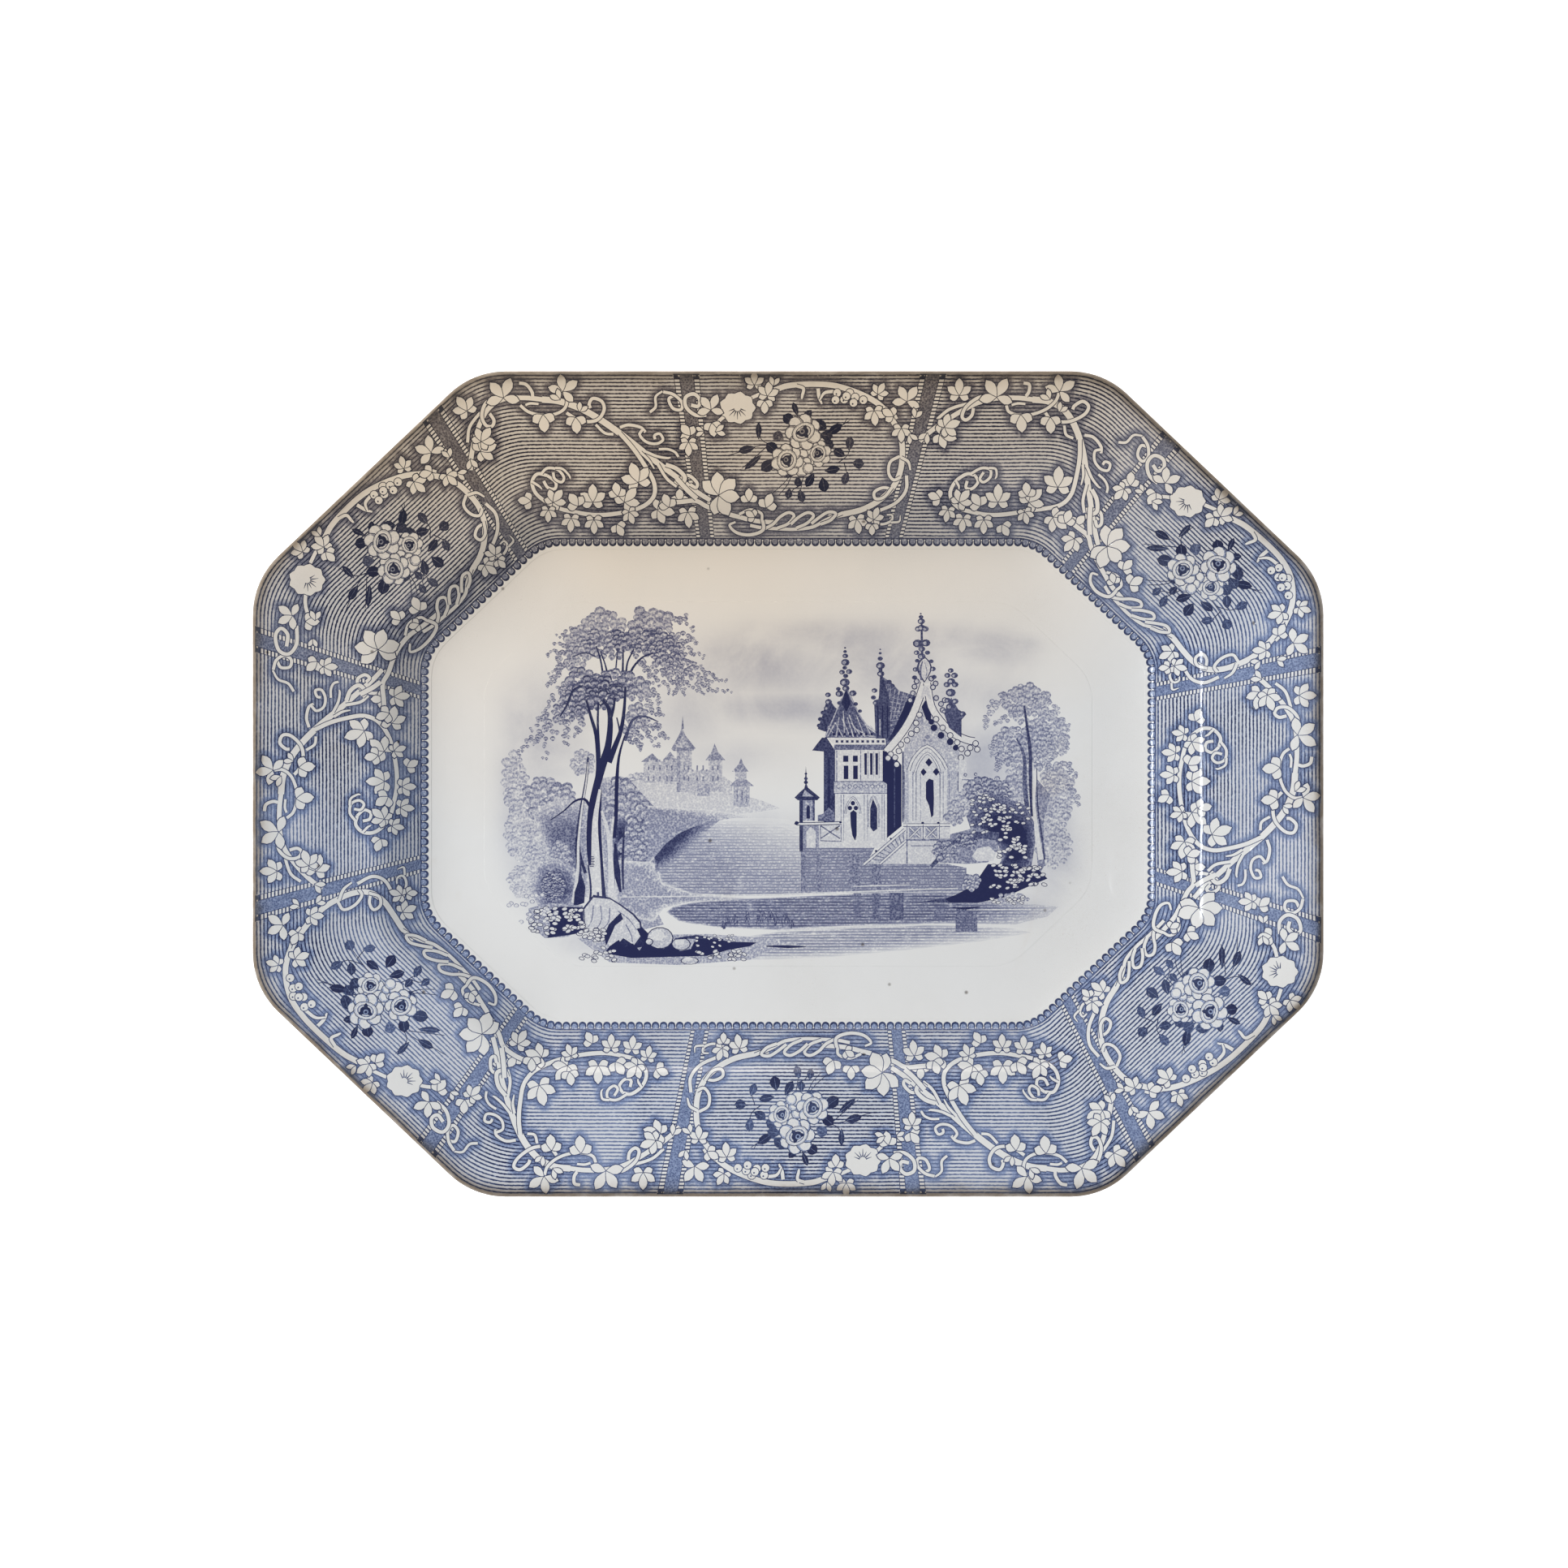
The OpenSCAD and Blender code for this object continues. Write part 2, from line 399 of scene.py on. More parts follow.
def darkLeaf(place, u, v, turn, length, width, tone=0.93):
    # a small rose leaf in full ink, with a paler rib
    spot, outward = place(u, v)
    angle = outward - turn
    addShape(lobeOutline(spot, angle, length, width, 0.7), tone)
    rib = unit(angle) * length
    band([spot + rib * 0.1, spot + rib * 0.85], [0.16, 0.1], tone * 0.7)


def twig(place, points, width=0.35, tone=0.92):
    band(smoothPath([place(u, v)[0] for u, v in points], 3), [width, width * 0.7], tone)


def rose(place, u, v, size, turn=0, squash=0.9):
    # an open rose: pale outer petals, each with a shaded edge, round a dark heart
    spot, outward = place(u, v)
    for i in range(7):
        angle = outward - turn + i * 360 / 7
        middle = spot + unit(angle) * size * 0.62
        disc(middle, size * 0.50, 0.9, 0.95, angle)
        disc(middle, size * 0.45, 0.4, 0.95, angle)
        disc(middle + unit(angle) * size * 0.09, size * 0.34, 0.05, 0.95, angle)
    for ring, tone in ((0.74, 0.92), (0.69, 0.2), (0.60, 0.04), (0.50, 0.7), (0.43, 0.16), (0.33, 0.95)):
        disc(spot, size * ring, tone, squash, outward - turn, sides=14)
    for i in range(3):
        angle = outward - turn + 40 + i * 120
        addShape(lobeOutline(spot, angle, size * 0.46, size * 0.24), 0.93)
    disc(spot + unit(outward + 60) * size * 0.08, size * 0.16, 0.5)
    disc(spot + unit(outward + 60) * size * 0.08, size * 0.08, 0.97)


# where a motif lies on the border

# how each motif is engraved: (its left bar at the well and at the rim, its right bar likewise)
motifBars = {"scroll": ((-34, -46), (34, 54)), "bouquet": ((-30.5, -37.5), (39, 53.5))}


def barSpot(bar, inset, off=0.0):
    side, outer, inner = bars[bar % 12]
    share = inset / outline["borderWidth"]
    normal, way = unit(sides[side][0]), unit(sides[side][0] + 90)
    return normal * (sides[side][1] - inset) + way * (outer + (inner - outer) * share + off)


def ringWalk(inset):
    # a ring, the length run at each of its points, and where each bar crosses it
    ring = np.array([tuple(point) for point in ringPoints(inset, 14, 12)])
    ring = np.vstack([ring, ring[:1]])
    steps = np.diff(ring, axis=0)
    runs = np.hypot(steps[:, 0], steps[:, 1])
    lengths = np.concatenate([[0], np.cumsum(runs)])
    crossings = []
    for bar in range(12):
        toSpot = np.array(barSpot(bar, inset)) - ring[:-1]
        share = np.clip((toSpot * steps).sum(axis=1) / np.maximum(runs ** 2, 1e-9), 0, 1)
        nearest = np.argmin(np.linalg.norm(toSpot - steps * share[:, None], axis=1))
        crossings.append(lengths[nearest] + share[nearest] * runs[nearest])
    return ring, lengths, crossings


# motifs are laid by these rings, which start outside the rim's edge
ringStart, ringStep = -8, 2
ringWalks = [ringWalk(inset) for inset in range(ringStart, 69, ringStep)]


def ringSpot(number, panel, share, step=0.0):
    ring, lengths, crossings = ringWalks[number]
    left, right = crossings[(panel + 1) % 12], crossings[panel]
    if left < right:
        left += lengths[-1]
    run = (left + (right - left) * share - step) % lengths[-1]
    return Vector((np.interp(run, lengths, ring[:, 0]), np.interp(run, lengths, ring[:, 1])))


def borderPlace(panel, kind, pull=0.0):
    # place(u, v): u clockwise over the motif and v outward from the well, fitted between the panel's bars
    (leftWell, leftRim), (rightWell, rightRim) = motifBars[kind]

    def place(u, v):
        out = v / outline["borderWidth"]
        left = leftWell + (leftRim - leftWell) * out
        right = rightWell + (rightRim - rightWell) * out
        share = (u - left) / (right - left)
        inner = min(max(share, 0), 1)
        share += pull * inner * (1 - inner) ** 2
        level = (outline["borderWidth"] - v - ringStart) / ringStep
        level = min(max(level, 0), len(ringWalks) - 1.001)
        number, part = int(level), level % 1
        spots = [ringSpot(number, panel, share, step).lerp(ringSpot(number + 1, panel, share, step), part)
                 for step in (-7, 0, 7)]
        way = spots[2] - spots[0]
        return spots[1], math.degrees(math.atan2(way.y, way.x)) + 90
    return place


def scrollMotif(place):
    # the C-shaped scroll: an outer stem with ivy, and an inner branch that ends in tendrils
    for curl in (([(-40, 35.5), (-38, 38.5), (-34, 42.5), (-29, 46.5), (-24, 49.5), (-18, 51), (-10, 51.2),
                   (-3, 50.5)], 1.7),
                 ([(-37, 43.5), (-34, 47), (-29, 48.8), (-27, 48.9)], 1.1),
                 ([(-21, 52), (-25, 51.2), (-28, 48), (-28, 44.5), (-26, 43.2), (-24.5, 44.8), (-25, 47.5)],
                  1.2),
                 ([(-4, 50.6), (2, 50), (8, 47.8), (13, 44.5), (18, 40), (23, 34.5), (28, 28.5), (33, 23),
                   (38, 17.5), (42, 14)], 2.3, 0.7),
                 ([(-13, 48.5), (-11, 46.2), (-7, 45), (-2, 45.2), (2.5, 47), (5, 50), (5, 53)], 1.1),
                 ([(3, 45.8), (6, 43.4), (10, 42.6), (14, 43.6), (17.5, 47), (17.8, 50), (15, 51),
                   (12.8, 49), (12.6, 47.5)], 1.2),
                 ([(-10, 56.6), (-7.6, 56), (-6.6, 53.5), (-7, 51.8)], 1.2),
                 ([(-11, 48.6), (-9, 49.2), (-6, 49)], 0.9), ([(12, 41.5), (14, 38.5), (17, 38)], 1.0)):
        stem(place, *curl)
    # the inner branch
    for curl in (([(19.5, 38.5), (22, 33), (23.6, 27), (24.4, 21), (22.5, 16), (18, 12.5), (12, 10.4),
                   (4, 9), (-3, 8.8), (-9, 9.8), (-14, 11), (-18, 13.5), (-20.4, 17), (-20, 21),
                   (-17, 23.6), (-13.6, 23)], 1.5, 0.8),
                 ([(-13.6, 23), (-11.6, 20.6), (-12.8, 18.2), (-15.2, 18.6), (-15.8, 21)], 1.1),
                 ([(-15.4, 23.8), (-12.5, 25.7), (-9, 25.2), (-7.8, 22.5), (-9.4, 20.6), (-11.4, 21.8),
                   (-11, 24.2)], 1.0),
                 ([(-9.6, 25.8), (-7, 25.4), (-5.6, 23), (-5.7, 21.8)], 0.9, 0.5),
                 ([(-20, 21), (-18.2, 19.2), (-17.6, 18)], 0.9, 0.5)):
        stem(place, *curl)
    # the branches that cross to the next bar
    for curl in (([(20.5, 40.5), (24, 41.4), (28, 40.6), (29.2, 38.8)], 1.1),
                 ([(28.4, 39.6), (26.6, 37.8), (28, 35.2), (31.4, 34.6), (34.4, 36), (34.2, 38.2),
                   (32, 37.6), (31.6, 36.2)], 1.0),
                 ([(31.4, 32.6), (34.6, 32.6), (36.8, 31.6), (37.4, 29.8)], 0.9),
                 ([(26, 31.8), (29.6, 30), (33, 29.4), (34.4, 29.6)], 1.0, 0.5),
                 ([(24.2, 31.5), (26, 28.5), (26.6, 25.5)], 1.0, 0.5),
                 ([(28.6, 27.2), (29.6, 22), (32, 19)], 1.1),
                 ([(33.2, 13.2), (33, 18), (35, 22), (38.2, 23), (40, 20.4), (38.8, 18.6), (37.2, 19.8)],
                  1.2),
                 ([(34, 46), (37, 48), (38.6, 51.6), (42, 53.6)], 1.0, 0.7),
                 ([(45.4, 52), (43, 50.6), (43.2, 47.4), (46, 47), (47.4, 49.6), (45.6, 52.4),
                   (42.2, 53.4)], 1.1)):
        stem(place, *curl)
    # ivy on the outer stem
    for spray in ((-18, 51.6, -5, 7.6, "four"), (-32.5, 52.2, 0, 6.2, "five"),
                  (-33.5, 38, 105, 6.4, "five"), (-6, 45, 175, 6.4, "three"), (5.6, 44, 175, 5.8, "three"),
                  (8, 46.2, 30, 4, "bud"), (5, 53.6, 20, 6.6, "four"), (2.6, 50.6, -40, 4.4, "bud")):
        leaf(place, *spray)
    # ivy round the inner branch
    for spray in ((18.6, 20.6, -20, 7.6, "five"), (21.4, 10.6, 100, 6.4, "five"),
                  (10.6, 13.4, 40, 6.6, "five"), (9, 15.6, -10, 5, "three"), (-1, 13.4, 0, 6.6, "five"),
                  (-7, 12, -35, 5.4, "three"), (-15.4, 13.4, 40, 5.6, "five"),
                  (-23.2, 14.6, -70, 4.8, "three"), (-18.4, 10.4, 190, 4.4, "five"),
                  (-11.4, 7.4, 185, 5.0, "five"), (-3.4, 6.8, 180, 5.0, "five"),
                  (4.2, 5.2, 150, 4.6, "three"), (10.6, 9.6, 160, 4.4, "five"),
                  (30.6, 13.4, 0, 4.8, "three"), (-38.4, 38.4, -150, 4.4, "bud")):
        leaf(place, *spray)


def bouquetMotif(place):
    # a wreath of vine round a posy of three roses
    for curl in (([(-45, 27), (-41, 25.5), (-38, 22.4), (-39.4, 20), (-41.6, 21.2)], 1.5),
                 ([(-47, 13), (-40, 13.4), (-34, 13.8), (-30, 11.8), (-24, 9.6), (-18, 8), (-12, 6.6),
                   (-4, 6)], 1.6),
                 ([(-41, 22), (-37, 17.6), (-33.6, 14.6)], 1.7),
                 ([(-30, 45), (-34, 45), (-37.4, 47.8), (-37.6, 51.4), (-34.6, 52.6), (-32.4, 50.6),
                   (-33, 48.2), (-35.6, 48.6)], 1.3),
                 ([(-27, 41), (-24, 44), (-19, 47)], 1.3), ([(-14, 51), (-10, 52.6), (-5, 53.6)], 1.3),
                 ([(-5, 54), (0, 55.6), (8, 56.2), (16, 55.8), (23, 54), (30, 51), (35, 47.4), (39, 42),
                   (41.6, 36), (42, 30), (41, 23.6), (38, 18), (33, 13.6), (27, 10.6), (20, 9), (15, 8)],
                  2.0),
                 ([(3, 55.6), (5.6, 54.6), (5.2, 52), (5, 50.8)], 1.2, 0.5),
                 ([(11, 54.6), (11.4, 51.4), (12.4, 49)], 1.3, 0.5),
                 ([(17, 53.6), (13.4, 53), (11.6, 50.4)], 1.2, 0.5)):
        stem(place, *curl)
    # twisted strands below
    for curl in (([(20, 9.4), (14, 7), (9, 4.4), (2, 3.6), (-4, 3.8), (-10, 4.2), (-14, 5)], 1.2),
                 ([(-4, 4), (0, 5.6), (2.2, 8.4), (0.2, 9.6), (-3, 8), (-5.6, 5.4), (-9.4, 3.4)], 1.1),
                 ([(3, 4), (7, 5.8), (9.4, 8.4), (7.4, 9.6), (4, 8), (1, 5.4)], 1.1),
                 ([(12, 5.4), (15.6, 6.8), (17.6, 9.2), (15, 9.8), (12, 8.2), (8.6, 5.6)], 1.1),
                 ([(-9.6, 7.6), (-9.2, 3.4), (-14, 1.6), (-19, 2.4), (-21.6, 5), (-19.4, 6.2)], 1.2, 0.6),
                 ([(-18, 9), (-14, 10.6), (-10, 9.4), (-9.6, 6.8)], 1.0),
                 ([(43.6, 23), (43.4, 17.6), (39.6, 13), (33, 10)], 1.2),
                 ([(41, 30), (37.6, 28), (37, 24), (38.8, 21.4), (41.4, 22.4)], 1.1),
                 ([(41.6, 29.6), (44.2, 28), (45, 25)], 1.1, 0.6),
                 ([(38.4, 18), (35, 18.6), (31.8, 17), (32.2, 14.6), (35.4, 15.2), (38.4, 18.8)], 1.1),
                 ([(30.6, 6.6), (34.6, 5.4), (38, 6.6), (38.4, 8.6), (36.4, 8.8)], 0.9, 0.6),
                 ([(38, 6), (41, 6.4), (41.4, 8.6)], 0.8, 0.4),
                 ([(35.6, 47.6), (38.4, 46), (40, 43.6)], 1.0)):
        stem(place, *curl)
    # the bindweed flower, and the large leaf below it
    spot, outward = place(-18.6, 47.6)
    for radius, tone in ((6.6, 0.86), (6.3, 0.0)):
        points = []
        for i in range(36):
            ripple = radius + 0.42 * math.cos(i * math.pi / 2)
            turn = i * math.pi / 18
            points.append(spot + Vector((math.cos(turn) * ripple, math.sin(turn) * ripple * 0.88)))
        addShape(points, tone, 0, tone > 0.5)
    for i in range(7):
        angle = outward - 70 + i * 140 / 6 + 180
        band([spot + unit(angle) * 1.2, spot + unit(angle) * (3.4 + 0.8 * (i % 2))], [0.5, 0.12], 0.84)
    for lobeTurn, length, width in (
            (-165, 7.2, 4.6), (155, 8, 5), (-50, 8, 4.6), (-5, 8.6, 5), (45, 8.4, 5), (95, 7.6, 4.6)):
        lobe(place(-25.4, 15.8)[0], place(-25.4, 15.8)[1] - lobeTurn, length, width)
    for u, v, turn, size, kind in (
            (-28.4, 47, -10, 6, "four"), (-28, 42, 170, 5, "three"), (-26.6, 39, 80, 4.2, "bud"),
            (-31, 39, -90, 3.6, "bud"), (-36, 37.6, -40, 5, "three"), (-36.6, 35, 180, 5, "five"),
            (-12.4, 56, 0, 5, "five"), (-7.6, 52, 10, 5.4, "five"), (-8.6, 50, 180, 4.6, "three"),
            (-5.4, 55.6, 10, 4, "bud"), (33, 52.6, 30, 4.6, "five"), (31.6, 46.4, 175, 5.4, "five"),
            (43.6, 50, 0, 6.4, "four"), (38.6, 44.6, -60, 4.6, "three"), (41.6, 40, 180, 5, "five"),
            (44.6, 38, 150, 4, "bud"), (-14.4, 13.6, 0, 4.8, "three"), (-8, 11.4, 20, 5.4, "three"),
            (-12.4, 8, -60, 3.8, "three"), (25.4, 7, 170, 5.2, "five"), (31.6, 7.2, 20, 4.6, "five"),
            (31, 5.2, 180, 3.8, "three"), (-37, 9.6, 175, 5.6, "five"), (-44, 11.6, -20, 5, "three"),
            (46.6, 44, 20, 4, "bud"), (57.6, 40.6, 70, 6, "five")):
        leaf(place, u, v, turn, size, kind)
    # grapes of small round leaves under the arch
    for u, v in ((18, 53), (22.6, 53), (24.6, 51.4), (20.6, 50.6), (17.4, 50.4), (24, 49.4), (27.6, 50.4),
                 (21.4, 51.8)):
        spot = place(u, v)[0]
        disc(spot, 1.75, 0.86, halo=True)
        disc(spot, 1.45, 0.0)
        disc(spot - Vector((0.3, 0.4)), 0.35, 0.8, sides=6)
    # the posy
    for points in (
            ((4, 30), (-4, 33), (-10, 34), (-16, 32), (-22, 30.4)), ((-6, 34), (-10, 36.4), (-10.6, 42.6)),
            ((-8, 33.4), (-13, 29), (-17, 25.6)), ((4, 30), (0, 22), (-5.6, 16.6)),
            ((3, 28), (0, 20), (-3.4, 16)), ((8, 36), (16, 39), (22.6, 43)),
            ((14, 38), (20, 41.4), (21.4, 43.4)), ((8, 28), (16, 27.6), (24, 27.4)),
            ((18, 27.4), (22, 30.6), (22.8, 35)), ((20.6, 27.6), (21.6, 24), (22, 22)),
            ((4, 40), (3.6, 44.6), (2, 48)), ((6, 24), (5, 20), (4.4, 15.4)),
            ((5, 19.6), (2, 18), (0.4, 15.6))):
        twig(place, points)
    for u, v, turn, length, width, tone in (
            (-12, 33.4, -105, 6.6, 3.0, 0.95), (-9.6, 30.6, -130, 8.4, 2.4, 0.93),
            (-10.8, 36, 0, 6.4, 2.3, 0.93), (-3.4, 31, -50, 6, 4.2, 0.97),
            (-4.6, 28.6, -125, 6.6, 4.4, 0.95), (-1.6, 36, -60, 4.6, 4.2, 0.75),
            (2.4, 42, -55, 5.2, 4.2, 0.96), (3.6, 44.6, -20, 5.4, 2.2, 0.96), (5.4, 43, 40, 5, 2.8, 0.93),
            (14, 37.6, 55, 7.2, 3.2, 0.96), (9, 43, 120, 6, 4, 0.9), (11.6, 38, 100, 5, 4, 0.88),
            (12.4, 34.6, 100, 4.6, 4.4, 0.88), (21, 30, -60, 5, 3.4, 0.9), (22.4, 32, 5, 5.4, 3.2, 0.8),
            (23.6, 27.6, 95, 4.4, 4, 0.85), (22, 24.4, 200, 5, 3, 0.84), (13.4, 24.6, 80, 5.8, 3, 0.96),
            (9.6, 24, -150, 6, 3.2, 0.95), (12.6, 22.4, 170, 5.6, 4, 0.97), (3.6, 22.8, 180, 4, 2.8, 0.9),
            (0.6, 18.4, 190, 4, 2.8, 0.85), (4.2, 18, 165, 5, 3, 0.82), (6, 36, 90, 5, 5, 0.97),
            (6, 32.6, 200, 6, 4, 0.97), (9.4, 30, 90, 6, 6, 0.9), (0, 25, 180, 3, 4, 0.9)):
        darkLeaf(place, u, v, turn, length, width, tone)
    rose(place, 11, 31, 4.6, 20)
    for du, dv, size in (
            (4.6, 33, 2.0), (5.4, 30.6, 2.2), (4.4, 28.2, 2.2), (6.8, 28, 1.9), (5, 25.4, 3),
            (7.4, 25.6, 2.2)):
        spot = place(du, dv)[0]
        disc(spot, size, 0.85)
        disc(spot, size - 0.3, 0.28)
        disc(spot + Vector((0.15, 0.2)), size - 0.75, 0.03)
    rose(place, -0.4, 28.6, 5.6, 200)
    rose(place, 5.6, 38.8, 6.2, 60, 0.75)


# each bouquet is pulled clockwise by this much where its tissue was stretched round a corner
bouquetPulls = {1: 0.0, 3: 0.0, 5: 0.55, 7: 0.0, 9: 0.0, 11: 0.0}


barPrint = {
    "halfWidth": 2.9,
    "tone": 0.58,
    "beadLine": 3.5,         # from the bar's middle to its rows of beads
    "lineHalf": 1.1,
    "beadHalf": 0.86,
    "beads": 44,
}
acornPitch = 3.0


def drawBars():
    # a stippled bar with a row of small beads down each side
    for side, outer, inner in bars:
        normal, way = unit(sides[side][0]), unit(sides[side][0] + 90)

        def spotAt(inset, off):
            share = inset / outline["borderWidth"]
            run = outer + (inner - outer) * share + off * (1.05 - 0.32 * share)
            return normal * (sides[side][1] - inset) + way * run

        def strip(low, high, off, half, tone):
            addShape([spotAt(low, off - half), spotAt(high, off - half), spotAt(high, off + half),
                      spotAt(low, off + half)], tone)

        last = outline["borderWidth"] - 0.4
        strip(1, last, 0, barPrint["halfWidth"], barPrint["tone"])
        for off in (-barPrint["beadLine"], barPrint["beadLine"]):
            strip(1, last, off, barPrint["lineHalf"], 0.86)
            for i in range(barPrint["beads"]):
                low = 3 + (last - 3) * (i + 0.14) / barPrint["beads"]
                high = 3 + (last - 3) * (i + 0.74) / barPrint["beads"]
                strip(low, high, off, barPrint["beadHalf"], 0.03)


def drawEdging():
    # small acorns hang from the well's edge all round
    ring = ringPoints(outline["borderWidth"], 12, 8)
    ring.append(ring[0])
    lengths = [0]
    for i in range(1, len(ring)):
        lengths.append(lengths[-1] + (ring[i] - ring[i - 1]).length)
    count = round(lengths[-1] / acornPitch)
    xs, ys = [p.x for p in ring], [p.y for p in ring]
    for i in range(count):
        run = lengths[-1] * (i + 0.5) / count
        spot = Vector((np.interp(run, lengths, xs), np.interp(run, lengths, ys)))
        ahead = Vector((np.interp(run + 0.5, lengths, xs), np.interp(run + 0.5, lengths, ys)))
        way = (ahead - spot).normalized()
        inward = Vector((-way.y, way.x))
        for size, tone in ((1.16, 0.88), (0.82, 0.46)):
            outlinePoints = []
            for angle in range(0, 181, 22):
                reach = 1.25 * size
                deep = (1.4 + 1.5 * math.sin(math.radians(angle)) ** 0.8) * size + (0.15 if size < 1 else 0)
                along = reach * math.cos(math.radians(angle))
                outlinePoints.append(spot + way * along + inward * (deep - 0.75))
            outlinePoints += [spot - way * 1.0 * size - inward * 0.1,
                              spot + way * 1.0 * size - inward * 0.1]
            addShape(outlinePoints, tone)


drawBars()
for panel in range(0, 12, 2):
    scrollMotif(borderPlace(panel, "scroll"))
for panel, pull in bouquetPulls.items():
    bouquetMotif(borderPlace(panel, "bouquet", pull))
drawEdging()
borderDrawing, drawing = drawing, []
print("border drawn:", len(borderDrawing), "shapes")

# from a drawing to a printed piece

printSheet = {
    "gridStep": 1.15,         # the bare ground between the shapes is cut about this fine
    "thickness": 0.08,
    "edgeStrip": 0.07,
}


def splitLong(points, longest):
    out = []
    for i, point in enumerate(points):
        nextPoint = points[(i + 1) % len(points)]
        count = max(1, math.ceil((nextPoint - point).length / longest))
        out += [point.lerp(nextPoint, k / count) for k in range(count)]
    return out


def anticlockwise(points):
    area = sum(a.x * b.y - b.x * a.y for a, b in zip(points, points[1:] + points[:1]))
    return points if area > 0 else points[::-1]


def boxOf(points):
    xs, ys = [p[0] for p in points], [p[1] for p in points]
    return min(xs), min(ys), max(xs), max(ys)


def drawnIn(points, amount):
    # the same anticlockwise outline, a little smaller
    smaller = []
    for i, point in enumerate(points):
        along = (points[(i + 1) % len(points)] - points[i - 1]).normalized()
        smaller.append(point + Vector((-along.y, along.x)) * amount)
    return smaller


def faceHeight(insets):
    # the face's height, and over the rounding of the rim's edge
    edge = section["rimThick"] / 2
    heights = np.interp(insets, faceInsets, faceHeights)
    over = np.sqrt(np.maximum(edge ** 2 - (edge - np.maximum(insets, 0)) ** 2, 0))
    return np.where(insets < faceInsets[0], outline["height"] - edge + over, heights)


def joinSameInk(mesh, tops):
    # on the flat of the well the cuts inside one shape's ink are taken out,
    # and the sheet gets its edge and underside
    build = bmesh.new()
    build.from_mesh(mesh)
    for face, top in zip(build.faces, tops):
        face.material_index = top
    inked = [edge for edge in build.edges if all(face.material_index > 1 for face in edge.link_faces)]
    spots = [vert for vert in build.verts if all(face.material_index > 1 for face in vert.link_faces)]
    bmesh.ops.dissolve_limit(build, angle_limit=0.002, use_dissolve_boundaries=False,
                             verts=spots, edges=inked, delimit={'MATERIAL'})
    bmesh.ops.triangulate(build, faces=[face for face in build.faces if len(face.verts) > 3])
    for face in build.faces:
        face.material_index = 0
    rim = [edge for edge in build.edges if edge.is_boundary]
    made = bmesh.ops.extrude_edge_only(build, edges=rim)["geom"]
    under = {item for item in made if isinstance(item, bmesh.types.BMVert)}
    bmesh.ops.translate(build, verts=list(under), vec=(0, 0, -printSheet["thickness"] * mm))
    lower = [item for item in made if isinstance(item, bmesh.types.BMEdge) and set(item.verts) <= under]
    bmesh.ops.contextual_create(build, geom=lower)
    bmesh.ops.recalc_face_normals(build, faces=build.faces)
    build.to_mesh(mesh)
    build.free()


